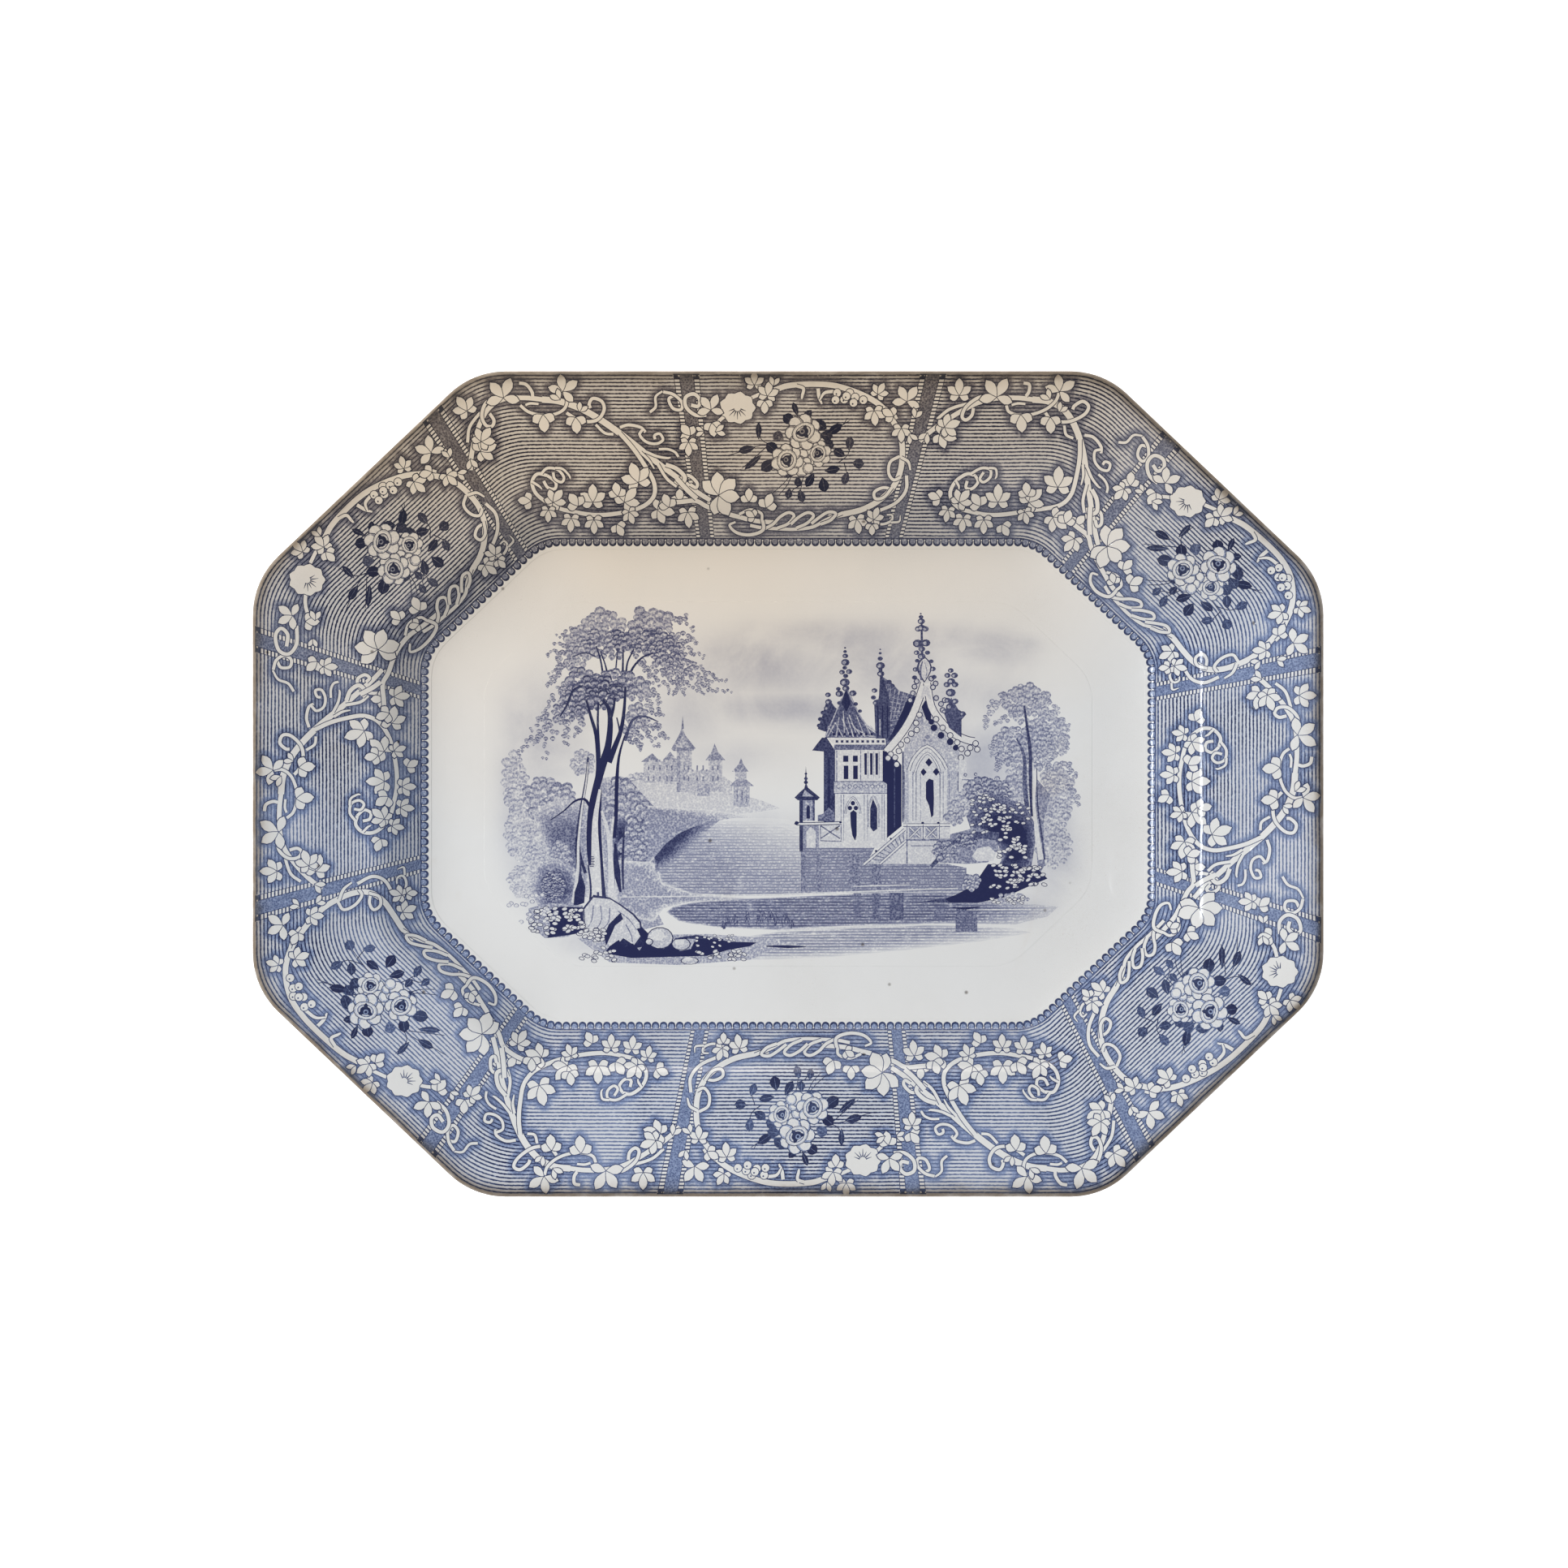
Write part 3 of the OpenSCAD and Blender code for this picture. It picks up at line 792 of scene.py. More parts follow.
def mosaic(name, ground, shapes, washes=(), lift=section["lift"], flatSheet=False):
    # one flat cut-up of all the shapes, laid on the platter's face,
    # where each part takes the topmost shape's ink
    left, low, right, high = boxOf(ground)
    bare = {"tone": 0.0, "lines": 0.0, "halo": False, "soft": 1.0}
    whole = splitLong(anticlockwise(ground), drawn["edgeStep"])
    # the second outline keeps the bend at the sheet's edge in a strip too thin to see
    used = [{**bare, "points": whole}, {**bare, "points": drawnIn(whole, printSheet["edgeStrip"])}]
    for shape in shapes:
        x0, y0, x1, y1 = boxOf(shape["points"])
        if x1 > left and x0 < right and y1 > low and y0 < high:
            used.append(shape)
    points, faces, haloSpots = [], [], []
    for shape in used:
        cutPoints = anticlockwise(shape["points"] if flatSheet else splitLong(shape["points"],
                                                                              drawn["edgeStep"]))
        faces.append(list(range(len(points), len(points) + len(cutPoints))))
        points += cutPoints
        if shape["halo"]:
            haloSpots += cutPoints
    step = printSheet["gridStep"] * (2 if flatSheet else 1)
    rows = int((high - low) / step) + 1
    for row in range(rows):
        for column in range(int((right - left) / step) + 1):
            points.append(Vector((left + (column + 0.5 * (row % 2)) * step, low + row * step)))
    spots, _, triangles, _, _, origins = delaunay_2d_cdt(points, [], faces, 0, 1e-5, True)
    boxes = [boxOf(shape["points"]) for shape in used]
    kept = []
    for tri, origin in zip(triangles, origins):
        if 0 not in origin:
            continue
        x = (spots[tri[0]].x + spots[tri[1]].x + spots[tri[2]].x) / 3
        y = (spots[tri[0]].y + spots[tri[1]].y + spots[tri[2]].y) / 3
        over = [i for i in origin if boxes[i][0] <= x <= boxes[i][2] and boxes[i][1] <= y <= boxes[i][3]]
        kept.append((tri, max(over, default=0)))
    flat = np.array([tuple(spot) for spot in spots])
    inUse = np.unique(np.array([i for tri, _ in kept for i in tri]))
    number = np.full(len(flat), -1)
    number[inUse] = np.arange(len(inUse))
    flat = flat[inUse]
    insets = insetAt(flat)
    heights = faceHeight(insets) + lift
    corners, inks = [], []
    for tri, top in kept:
        ids = [int(number[i]) for i in tri]
        a, b, c = (flat[i] for i in ids)
        if (b[0] - a[0]) * (c[1] - a[1]) - (c[0] - a[0]) * (b[1] - a[1]) < 0:
            ids.reverse()
        corners.append(ids)
        shape = used[top]
        inks += [shape["tone"], shape["lines"], shape.get("ripple", 0.0), shape.get("soft", 0.0)] * 3
    mesh = bpy.data.meshes.new(name)
    mesh.from_pydata(np.column_stack([flat, heights]) * mm, [], corners)
    piece = bpy.data.objects.new(name, mesh)
    bpy.context.collection.objects.link(piece)
    mesh.attributes.new("ink", 'FLOAT_COLOR', 'CORNER').data.foreach_set("color", inks)
    halo = np.zeros(len(flat))
    if haloSpots:
        tree = kdtree.KDTree(len(haloSpots))
        for i, spot in enumerate(haloSpots):
            tree.insert((spot.x, spot.y, 0), i)
        tree.balance()
        halo = np.array([tree.find((x, y, 0))[2] for x, y in flat])
        halo = np.exp(-(halo / drawn["haloReach"]) ** 1.6)
    mesh.attributes.new("halo", 'FLOAT', 'POINT').data.foreach_set("value", halo)
    wash = np.zeros(len(flat))
    for x, y, across, tall, strength in washes:
        near = ((flat[:, 0] - x) / across) ** 2 + ((flat[:, 1] - y) / tall) ** 2
        wash = np.maximum(wash, strength * np.exp(-near))
    # the washes fade out before the sheet's edge
    wash *= np.clip((insets - insets.min()) / 9, 0, 1) ** 1.5
    mesh.attributes.new("wash", 'FLOAT', 'POINT').data.foreach_set("value", wash)
    mesh.attributes.new("depth", 'FLOAT', 'POINT').data.foreach_set("value", insets)
    mesh.polygons.foreach_set("use_smooth", [True] * len(corners))
    bakeMap = mesh.uv_layers.new(name="OFBake")
    loops = np.array([i for ids in corners for i in ids])
    spread = (flat[loops] - (left, low)) / max(right - left, high - low)
    bakeMap.data.foreach_set("uv", spread.ravel())
    mesh.update()
    if flatSheet:
        joinSameInk(mesh, [top for _, top in kept])
    else:
        thicken(piece, printSheet["thickness"] * mm)
    steep = [abs(polygon.normal.z) > 0.5 for polygon in piece.data.polygons]
    piece.data.polygons.foreach_set("use_smooth", steep)
    return piece


def borderGround(panel, inner, outer):
    # the part of the border between a panel's two bars
    def along(inset, share):
        level = (inset - ringStart) / ringStep
        number, part = int(level), level % 1
        return ringSpot(number, panel, share).lerp(ringSpot(number + 1, panel, share), part)
    count = 60
    rows = [[along(inset, share / count) for share in range(count + 1)] for inset in (outer, inner)]
    sideCount = 40
    leftSide = [barSpot(panel + 1, inner + (outer - inner) * i / sideCount) for i in range(1, sideCount)]
    rightSide = [barSpot(panel, outer + (inner - outer) * i / sideCount) for i in range(1, sideCount)]
    return rows[0] + rightSide + rows[1][::-1] + leftSide


borderEdges = {
    # how far in from the rim's edge
    "outer": 1.0,
    "sheet": 64.6,
    "hatch": 60.9,
    "rule": (61.2, 60.4),
}
borderPieces = {}
for panel in range(12):
    ground = borderGround(panel, borderEdges["sheet"], borderEdges["outer"])
    hatchGround = borderGround(panel, borderEdges["hatch"], borderEdges["outer"])
    hatch = {"points": hatchGround, "tone": 0.0, "lines": 1.0, "halo": False}
    rule = {"points": borderGround(panel, *borderEdges["rule"]), "tone": 0.8, "lines": 0.0, "halo": False}
    borderPieces[panel] = mosaic("borderPrint" + borderNames[panel].title().replace("_", ""), ground,
                                 [hatch, rule] + borderDrawing)
print("border prints laid:", [len(piece.data.polygons) for piece in borderPieces.values()])

# the scene in the well: a lake with a garden pavilion, a far castle and trees

chance = random.Random(11)


def area(spots, tone, ripple=0.0, soft=0.0):
    addShape([Vector(spot) for spot in spots], tone)
    drawing[-1]["ripple"] = ripple
    drawing[-1]["soft"] = soft


def graded(outer, inner, toneOut, toneIn, ripple=(0.0, 0.0), steps=6):
    # shades from an outer outline to an inner one with as many points
    for step in range(steps + 1):
        share = step / steps
        area([Vector(a).lerp(Vector(b), share) for a, b in zip(outer, inner)],
             toneOut + (toneIn - toneOut) * share,
             ripple[0] + (ripple[1] - ripple[0]) * share, 0.5)


def box(x0, y0, x1, y1, tone):
    area([(x0, y0), (x1, y0), (x1, y1), (x0, y1)], tone)


def stroke(points, widths, tone, perSpan=3):
    band(smoothPath(points, perSpan), widths, tone)


def edged(points, width, tone=0.02, edgeTone=0.8, edge=0.3):
    path = smoothPath(points, 3)
    band(path, [width + 2 * edge] * 2, edgeTone)
    band(path, [width] * 2, tone)


def shade(points, tone, reach=0.6, first=0.25, core=None):
    # a patch of shadow, darkest in its middle
    middle = sum((Vector(point) for point in points), Vector((0, 0))) / len(points)
    centre = Vector(core) if core else middle
    graded(points, [Vector(point).lerp(centre, reach) for point in points], tone * first, tone)


def scale(x, y, size, tone):
    # one rounded tuft of leaves: dark along its upper edge, pale below
    squash = chance.uniform(0.7, 0.95)
    disc(Vector((x, y)), size, tone, squash, sides=8)
    disc(Vector((x, y - 0.28 * size)), size * 0.8, tone * 0.36, squash, sides=7)
    disc(Vector((x, y - 0.62 * size)), size * 0.56, tone * 0.8, squash, sides=6)


def clump(x, y, across, tall, size, tone):
    # rows of tufts, from the top down, inside an oval
    rows = max(2, round(2 * tall / (size * 1.05)))
    for row in range(rows):
        level = 1 - 2 * (row + 0.5) / rows
        half = across * math.sqrt(max(0, 1 - level * level))
        count = max(1, round(2 * half / (size * 1.35)))
        for i in range(count):
            place = (i + 0.5 + 0.35 * (row % 2) - 0.17) / count
            spotX = x - half + 2 * half * place + chance.uniform(-0.3, 0.3) * size
            spotY = y + level * tall + chance.uniform(-0.5, 0.5) * size
            now = size * chance.uniform(0.7, 1.2)
            scale(spotX, spotY, now, min(0.95, tone + chance.uniform(-0.06, 0.08)))


def frond(points, size, tone):
    # a hanging spray that thins towards its tip
    path = smoothPath(points, 4)
    for i, spot in enumerate(path):
        share = i / (len(path) - 1)
        now = size * (1 - 0.55 * share)
        for _ in range(2):
            spotX = spot.x + chance.uniform(-1, 1) * now * 0.9
            spotY = spot.y + chance.uniform(-0.8, 0.8) * now
            scale(spotX, spotY, now * 0.62, tone + chance.uniform(-0.08, 0.1))


def leafBlobs(x0, y0, x1, y1, count, size=0.9):
    for _ in range(count):
        spot = Vector((chance.uniform(x0, x1), chance.uniform(y0, y1)))
        tilt = chance.uniform(-30, 30)
        disc(spot, size * 1.3, 0.85, 0.62, tilt, sides=8)
        disc(spot, size, 0.03, 0.56, tilt, sides=8)


def blobStack(spots, tone=0.72):
    for x, y, size in spots:
        disc(Vector((x, y)), size, tone, 0.8, sides=9)
    for x, y, size in spots:
        if size > 1.0:
            disc(Vector((x - 0.25 * size, y - 0.1)), size * 0.42, tone * 0.35, sides=7)


def drawCastle():
    area([(-58, 1), (-46, 2), (-33, -3), (-22, -3), (-10, -6), (-3, -9), (-12, -10.5), (-24, -11.5),
          (-36, -13), (-50, -8)], 0.07)
    box(-53.4, 0.5, -46, 8.4, 0.13)
    area([(-54.4, 8.2), (-50.2, 11.4), (-47.2, 8.2)], 0.33)
    box(-46, 0, -41, 9.4, 0.16)
    area([(-46.2, 9), (-43.6, 12), (-41.2, 9)], 0.28)
    box(-41.2, -3, -35.6, 13, 0.17)
    box(-41.2, -3, -39.9, 13, 0.27)
    area([(-43.2, 13), (-40.4, 18), (-39.2, 21), (-38, 18), (-34.2, 13.2), (-35, 12.4), (-42.4, 12.2)],
         0.33)
    area([(-42, 13.4), (-36, 13.6), (-38.6, 18)], 0.20)
    area([(-39.5, 20.4), (-39, 25.4), (-38.5, 20.4)], 0.39)
    box(-35.6, -4, -29.4, 5, 0.14)
    box(-29.4, -3, -24.4, 9, 0.16)
    area([(-30.6, 8.8), (-28.2, 12), (-27.2, 15), (-26, 12), (-23.2, 8.8)], 0.33)
    area([(-24.6, 3.4), (-20.6, 0.6), (-20.6, -4), (-24.6, -4)], 0.11)
    box(-33.6, -4.4, -29, 0, 0.23)
    for x in (-51.6, -49.6, -47.4, -44.8, -43, -38.4, -36.8, -33.6, -31.4, -27.8, -26):
        for y in (6.2, 2.2):
            box(x - 0.28, y - 1.1, x + 0.28, y + 0.7, 0.39)
    for i in range(14):
        box(-53.2 + i * 1.75, 8.2 if i < 7 else 4.6, -52.5 + i * 1.75, 9.0 if i < 7 else 5.4, 0.27)
    box(-20.2, -8.4, -14.2, -0.4, 0.19)
    area([(-21.8, -0.8), (-19, 1.8), (-15.6, 1.8), (-12.6, -0.8)], 0.31)
    box(-19.6, 1.6, -15.4, 4.8, 0.16)
    area([(-20.8, 4.6), (-18.2, 7.4), (-17.4, 9.8), (-16.6, 7.4), (-14.6, 4.6)], 0.33)
    for x in (-18.8, -17, -15.4):
        box(x - 0.25, -6.6, x + 0.25, -2.2, 0.39)


def drawWater():
    # the far bank and the near one, then the water between them, dark under the trees and misty to the right
    graded([(-52, -8), (-40, -9), (-28, -9.6), (-18, -11), (-12, -12.6), (-24, -14.6), (-34, -17),
            (-40, -20), (-46, -24), (-52, -30)],
           [(-52, -9), (-44, -10), (-38, -11), (-32, -12.4), (-30, -13.6), (-33, -15.4), (-38, -17.6),
            (-43, -20.6), (-47, -24), (-52, -28)], 0.03, 0.3)
    graded([(-64, -28), (-50, -29), (-47, -34), (-40, -39), (-24, -41.8), (-8, -42.6), (-36, -43.6),
            (-46, -46), (-50, -51), (-64, -48)],
           [(-63, -30), (-52, -31), (-49, -36), (-44, -40), (-38, -41.6), (-34, -42.4), (-42, -43.4),
            (-48, -45), (-52, -49), (-62, -46)], 0.05, 0.26)
    graded([(-49.4, -27), (-45, -22), (-39, -17.4), (-31, -14.4), (-20, -12.6), (-8, -12.6), (0, -13),
            (4.5, -15), (4.5, -40.8), (-20, -41.6), (-36, -40.6), (-47, -37)],
           [(-49.2, -27.2), (-44.8, -22.4), (-40, -18.4), (-37.6, -18), (-36, -19.6), (-28, -26),
            (-12, -33), (4.5, -37), (4.5, -40.4), (-20, -40.8), (-36, -40), (-46, -36)], 0.0, 0.2,
           (0.0, 0.36), 13)
    graded([(-49.6, -27), (-45.2, -21.8), (-39, -17.2), (-31, -14.2), (-25, -13.2), (-28, -15.6),
            (-32, -19), (-37, -24), (-42, -29), (-49, -33)],
           [(-49.3, -27.2), (-45.4, -22.4), (-41, -18.8), (-36.6, -16.6), (-35.4, -16.2), (-36.2, -17.2),
            (-38, -19), (-40.6, -21.6), (-44, -25), (-48.4, -28.6)], 0.2, 0.76, (0.4, 0.4), 9)
    area([(4.6, -23.6), (32, -23.6), (29, -29.4), (58, -29.4), (66, -31), (66, -39.6), (4.6, -40.6)], 0.3,
         0.42, 0.3)
    for x0, x1 in ((4.6, 6.4), (10.6, 12.4), (22.4, 26.6), (31, 34.4)):
        box(x0, -39.6, x1, -26, 0.42)
    graded([(-45, -47.4), (-42.6, -45.4), (-36, -43.9), (-20, -42.6), (0, -41.8), (30, -40.3), (64, -39.6),
            (76, -43), (100, -45.4), (96, -49), (84, -52), (60, -51.6), (20, -52.6), (-4, -54), (-26, -53),
            (-40, -51)],
           [(-44, -47.4), (-42, -45.9), (-36, -44.3), (-20, -43.2), (0, -42.4), (30, -41), (58, -41),
            (62, -44), (72, -46.4), (68, -48), (62, -50), (50, -50.8), (20, -51.8), (-4, -53.2),
            (-26, -52.4), (-39, -50.4)], 0.08, 0.32, (0.1, 0.62), 7)
    graded([(-4, -54.6), (20, -53.4), (55, -52), (84, -53), (94, -55), (74, -58.4), (46, -61.6),
            (16, -64.4), (-8, -65.4), (-34, -65.6), (-22, -60), (-14, -56)],
           [(-4, -55.4), (20, -54), (48, -52.8), (62, -53.6), (60, -55), (44, -57.4), (30, -59.6),
            (12, -61), (-8, -62), (-24, -62.6), (-14, -59), (-10, -56.6)], 0.0, 0.12, (0.0, 0.36), 9)
    for x0, x1, y0, y1, tone in (
            (24.2, 27, -49, -40.4, 0.45), (31.2, 34.2, -50, -40.4, 0.5), (37.6, 42.8, -50.4, -40.2, 0.56),
            (62, 70, -54.6, -46, 0.46), (54, 58, -50, -45, 0.42)):
        area([(x0, y1), (x1, y1), (x1, y0), (x0, y0)], tone, 0.5)
    for points, width in (
            ([(-62, -41.8), (-40, -41.6), (0, -40.8), (38, -39.4), (63, -38.6)], 0.7),
            ([(24, -37.9), (45, -37.3)], 0.55), ([(-4, -54.2), (20, -53.2), (54, -51.6)], 0.75),
            ([(66, -46.6), (90, -46.4)], 0.5), ([(-2, -56), (24, -55.2)], 0.4)):
        stroke(points, [width * 0.4, width, width * 0.4], 0.04)
    # reeds
    for i in range(46):
        x = chance.uniform(-25, 3)
        y = -53 + chance.uniform(0, 3.4) + 1.6 * math.sin((x + 25) / 28 * math.pi)
        lean = chance.uniform(-2.4, 2.4)
        stroke([(x, y - 1), (x + lean * 0.5, y + 1.6), (x + lean, y + 0.8)], [0.4, 0.2], 0.66, 2)


def drawPavilion():
    # the left wing: dormer, latticed roof and crocketed spires
    area([(11, 20.4), (12.6, 25), (14, 30), (15, 31.6), (17.4, 28.4), (20, 26), (20, 19), (13.6, 19.4)],
         0.74)
    area([(14.6, 20.4), (16.4, 25), (18.6, 20.4)], 0.92)
    blobStack([(14.4, 28, 1.2), (15, 30.4, 1.3), (14.8, 33, 1.1), (12, 24, 1.0), (13, 26.4, 1.0),
               (11.6, 21.6, 1.0)])
    area([(13.6, 17), (14.4, 20.6), (17.8, 27), (20, 32.6), (21.4, 36), (23.4, 32.6), (26.4, 26),
          (30, 20.4), (35, 17)], 0.6)
    area([(19.8, 30), (21.4, 35.6), (23.2, 30), (21.6, 26.6)], 0.88)
    for i in range(7):
        stroke([(14.6 + i * 3.2, 17.4), (20.4 + (i - 2) * 1.5, 27 - abs(i - 2) * 2.2)], [0.42, 0.3], 0.16,
               1)
        stroke([(17.6 + i * 2.7, 17.4), (14.8 + i * 2.6, 21.4 + min(i, 3) * 1.4 - max(0, i - 4) * 2)],
               [0.42, 0.3], 0.16, 1)
    stroke([(13.8, 17.4), (17.8, 26.8), (21.2, 35)], [0.5, 0.4], 0.2)
    stroke([(35, 17.4), (28.4, 22.6), (24.2, 30), (22, 35)], [0.5, 0.4], 0.2)
    for i in range(9):
        box(16.5 + i * 2, 17.9, 17.4 + i * 2, 18.9, 0.92)
    blobStack([(19, 33.4, 1.5), (24, 33.6, 1.4), (18.6, 35.2, 0.9), (21, 37.6, 1.9), (21.4, 35.4, 1.4),
               (20, 41.4, 1.1), (22.6, 41.6, 1.2), (21.3, 40, 1.0), (21.2, 45, 1.6), (21, 43, 0.9),
               (21.2, 47.4, 1.1), (21.1, 49, 0.7), (21.1, 50.4, 0.4), (25, 29.6, 0.9), (26.6, 27, 0.8),
               (19, 30, 0.9)])
    area([(8.9, 12.4), (10.4, 14.4), (12.6, 17.2), (14.4, 17), (17, 13), (18, 11.6)], 0.76)
    box(13.2, -14, 17.4, 12.6, 0.78)
    box(14.6, -10, 15.6, 10, 0.9)
    area([(14.4, 17.2), (37.4, 17.2), (36.8, 14.7), (17, 14.7)], 0.03)
    stroke([(14.4, 17.3), (37.4, 17.3)], [0.3, 0.3], 0.6, 1)
    for i in range(10):
        box(17.6 + i * 1.9, 15.3, 18.6 + i * 1.9, 16.2, 0.82)
    box(17, 12.4, 36.6, 14.6, 0.5)
    box(17.4, 0.2, 35.4, 12.6, 0.04)
    stroke([(18, 12.4), (18, 0.4)], [0.5, 0.4], 0.3, 1)
    for x0, y0, x1, y1 in (
            (20.4, 8.2, 22.3, 10.5), (24, 8.2, 25.8, 10.5), (20.6, 1.8, 22.3, 6.8), (24.1, 1.8, 25.8, 6.8)):
        box(x0, y0, x1, y1, 0.93)
    stroke([(26.9, 12.6), (26.9, 1)], [0.3, 0.3], 0.45, 1)
    for x in (28.7, 30.8, 32.8):
        area([(x - 0.5, 11.4), (x + 0.5, 11.4), (x + 0.45, 3.4), (x - 0.4, 3.4)], 0.9)
        stroke([(x + 0.9, 12), (x + 0.9, 2)], [0.25, 0.15], 0.4, 1)
    box(17, -3.4, 36.6, 0.9, 0.15)
    for i in range(9):
        disc(Vector((18.6 + i * 2.1, -0.9)), 0.85, 0.4, sides=8)
        disc(Vector((18.6 + i * 2.1, -0.9)), 0.5, 0.08, sides=8)
    stroke([(17, 0.9), (36.6, 0.9)], [0.35, 0.35], 0.5, 1)
    stroke([(17, -3.5), (36.6, -3.5)], [0.4, 0.4], 0.55, 1)
    area([(17.6, -3.6), (36.8, -3.6), (36.8, -23.6), (12, -23.6), (12, -14), (17.6, -14)], 0.04)
    for x in (19.6, 20.6, 28.2, 29.4, 34.8, 35.6):
        stroke([(x, -4), (x, -21)], [0.3, 0.12], 0.4, 1)
    edged([(21.2, -11), (21.8, -8), (24, -4.9), (26.2, -8), (26.8, -11)], 0.4, 0.05, 0.5, 0.2)
    for x, y in ((24, -7.1), (22.9, -8.9), (25.1, -8.9)):
        disc(Vector((x, y)), 0.85, 0.88, sides=8)
    area([(23, -10.6), (24.2, -9.6), (25.4, -10.6), (25.4, -19), (24.8, -21), (23.8, -19), (23.2, -15)],
         0.92)
    area([(30.4, -9), (31.4, -5.4), (33, -9), (33, -16.6), (31.6, -17.6), (30.4, -16)], 0.82)
    edged([(29.8, -16), (29.8, -8.6), (31.6, -4.4), (33.6, -8.6), (33.6, -16)], 0.3, 0.1, 0.45, 0.15)
    # the turret between the wings
    area([(34.8, 39.8), (38.4, 37.4), (41, 34.6), (46, 33), (50, 31), (46, 22), (40, 16), (36.4, 13),
          (36, 17), (33, 29)], 0.56)
    for i in range(8):
        stroke([(36.4 + i * 1.6, 36.4 - i * 0.6), (35.4 + i * 1.2, 22 + i * 0.6)], [0.35, 0.3], 0.3, 1)
        stroke([(34.6, 33 - i * 2), (44 - i * 0.2, 30.6 - i * 1.3)], [0.3, 0.25], 0.3, 1)
    area([(31.8, 31), (33.6, 31.4), (34, 40.2), (35, 40.2), (37.6, 31), (37.8, 16.8), (32.4, 16.8)], 0.74)
    for x in (33.2, 35, 36.8):
        stroke([(x, 29), (x, 17)], [0.5, 0.5], 0.93, 1)
    stroke([(34, 24), (34, 18)], [0.35, 0.35], 0.15, 1)
    blobStack([(32, 34.6, 1.1), (31.6, 32, 1.0), (32.4, 30, 1.1), (34.3, 40.8, 1.4), (34.2, 43.8, 1.7),
               (34.2, 42.2, 0.8), (34.1, 46.4, 1.0), (34.1, 48.4, 0.6), (34.1, 49.8, 0.35),
               (37.4, 37.8, 1.0), (38.6, 36.4, 0.9)])
    area([(35, 12.4), (38, 11.6), (42, 7), (42, -15.6), (36.6, -20), (36.6, 0), (35, 1)], 0.93)
    stroke([(39.4, 9), (39.4, -16)], [0.5, 0.4], 0.7, 1)
    area([(40, 16.4), (44.6, 24), (47.6, 30.6), (49, 33.6), (44, 31), (40, 22), (37, 16)], 0.9)
    # the gable, its wall and its carved boards
    area([(50.6, 31), (56, 22), (61.6, 15.4), (63.2, 14), (63.2, -14.4), (42.2, -14.4), (42.2, 9),
          (44, 18)], 0.15)
    area([(44.6, 5), (46, 9.4), (51.6, 14.6), (57, 9.4), (58.8, 5), (58.8, -14.4), (44.6, -14.4)], 0.05)
    area([(49.4, 28.6), (50.8, 31), (53, 26.4), (52.8, 22.6), (51, 24)], 0.94)
    area([(48, 24), (50, 27), (49.8, 21.8)], 0.3)
    for x, y, size in ((54, 20.8, 1.3), (56.6, 18, 1.3), (60, 15.6, 1.3), (62, 13.4, 1.1), (53, 23, 1.1)):
        disc(Vector((x, y)), size, 0.93, sides=9)
    edged([(50.4, 37.4), (47.4, 28.6), (44.4, 22.4), (41, 17.4), (36.4, 12)], 2.5)
    edged([(51.4, 37.4), (53, 28.8), (56.4, 23.4), (61, 18.8), (66, 16.4), (69, 15.8)], 2.4)
    for x, y in ((48.6, 25.6), (47.4, 22.6), (47.6, 20), (45.6, 18.6), (44, 16.2), (41.8, 14.6), (41, 12.2),
                 (39.6, 9.8), (38, 11), (40.2, 7.2), (54.8, 24), (57.2, 20.8), (60, 18), (62.6, 15.4),
                 (64.2, 13), (66.4, 11.4), (64, 9.8), (67.4, 13.4), (69.4, 15), (70, 12.8), (37, 9.6)):
        disc(Vector((x, y)), 1.25, 0.8, sides=9)
        disc(Vector((x, y)), 0.92, 0.04, sides=9)
    for x, y in ((46.8, 36), (47.6, 38), (53.6, 35.8), (54.6, 37.2), (53, 39), (54.8, 31.8), (56.6, 29.6),
                 (58, 31), (57.2, 27.4), (46.2, 33.6), (45.2, 31)):
        disc(Vector((x, y)), 1.15, 0.74, sides=8)
        disc(Vector((x, y)), 0.72, 0.12, sides=8)
    area([(49, 31.4), (50.2, 36.4), (52, 36.4), (53, 31), (51, 32.6)], 0.08)
    # a plain pinnacle, and the finial over it
    blobStack([(53.6, 42.6, 1.1), (47.2, 42.4, 1.1), (53, 45.4, 0.9), (47.8, 45.6, 0.9), (54, 39.6, 1.0),
               (46.8, 39.4, 1.0)], 0.7)
    addShape(lobeOutline(Vector((50.4, 37.4)), 90, 10, 5.6, 0.8), 0.78)
    addShape(lobeOutline(Vector((50.5, 38)), 90, 8.8, 4.3, 0.8), 0.07)
    stroke([(49.3, 38.4), (48.9, 42), (49.8, 45.6)], [0.6, 0.9, 0.3], 0.55)
    stroke([(51, 39), (51.3, 42), (50.6, 45)], [0.3, 0.4, 0.2], 0.35)
    stroke([(49.6, 46.6), (49.4, 60)], [1.0, 0.7], 0.7, 1)
    blobStack([(47.6, 48.6, 1.1), (51.6, 48.6, 1.0), (49.4, 47.2, 1.5), (48, 52, 1.9), (51, 52.2, 1.7),
               (49.5, 50, 1.3), (48.2, 57.4, 1.3), (50.8, 57.4, 1.3), (49.4, 57.8, 1.5), (49.3, 60.2, 1.4),
               (49.2, 61.8, 0.9), (49.1, 63, 0.4)], 0.68)
    area([(57.6, 26.4), (60.4, 32), (63, 27.6), (66, 25.8), (64.2, 23.8), (64.2, 17.2), (59.6, 20.8)], 0.7)
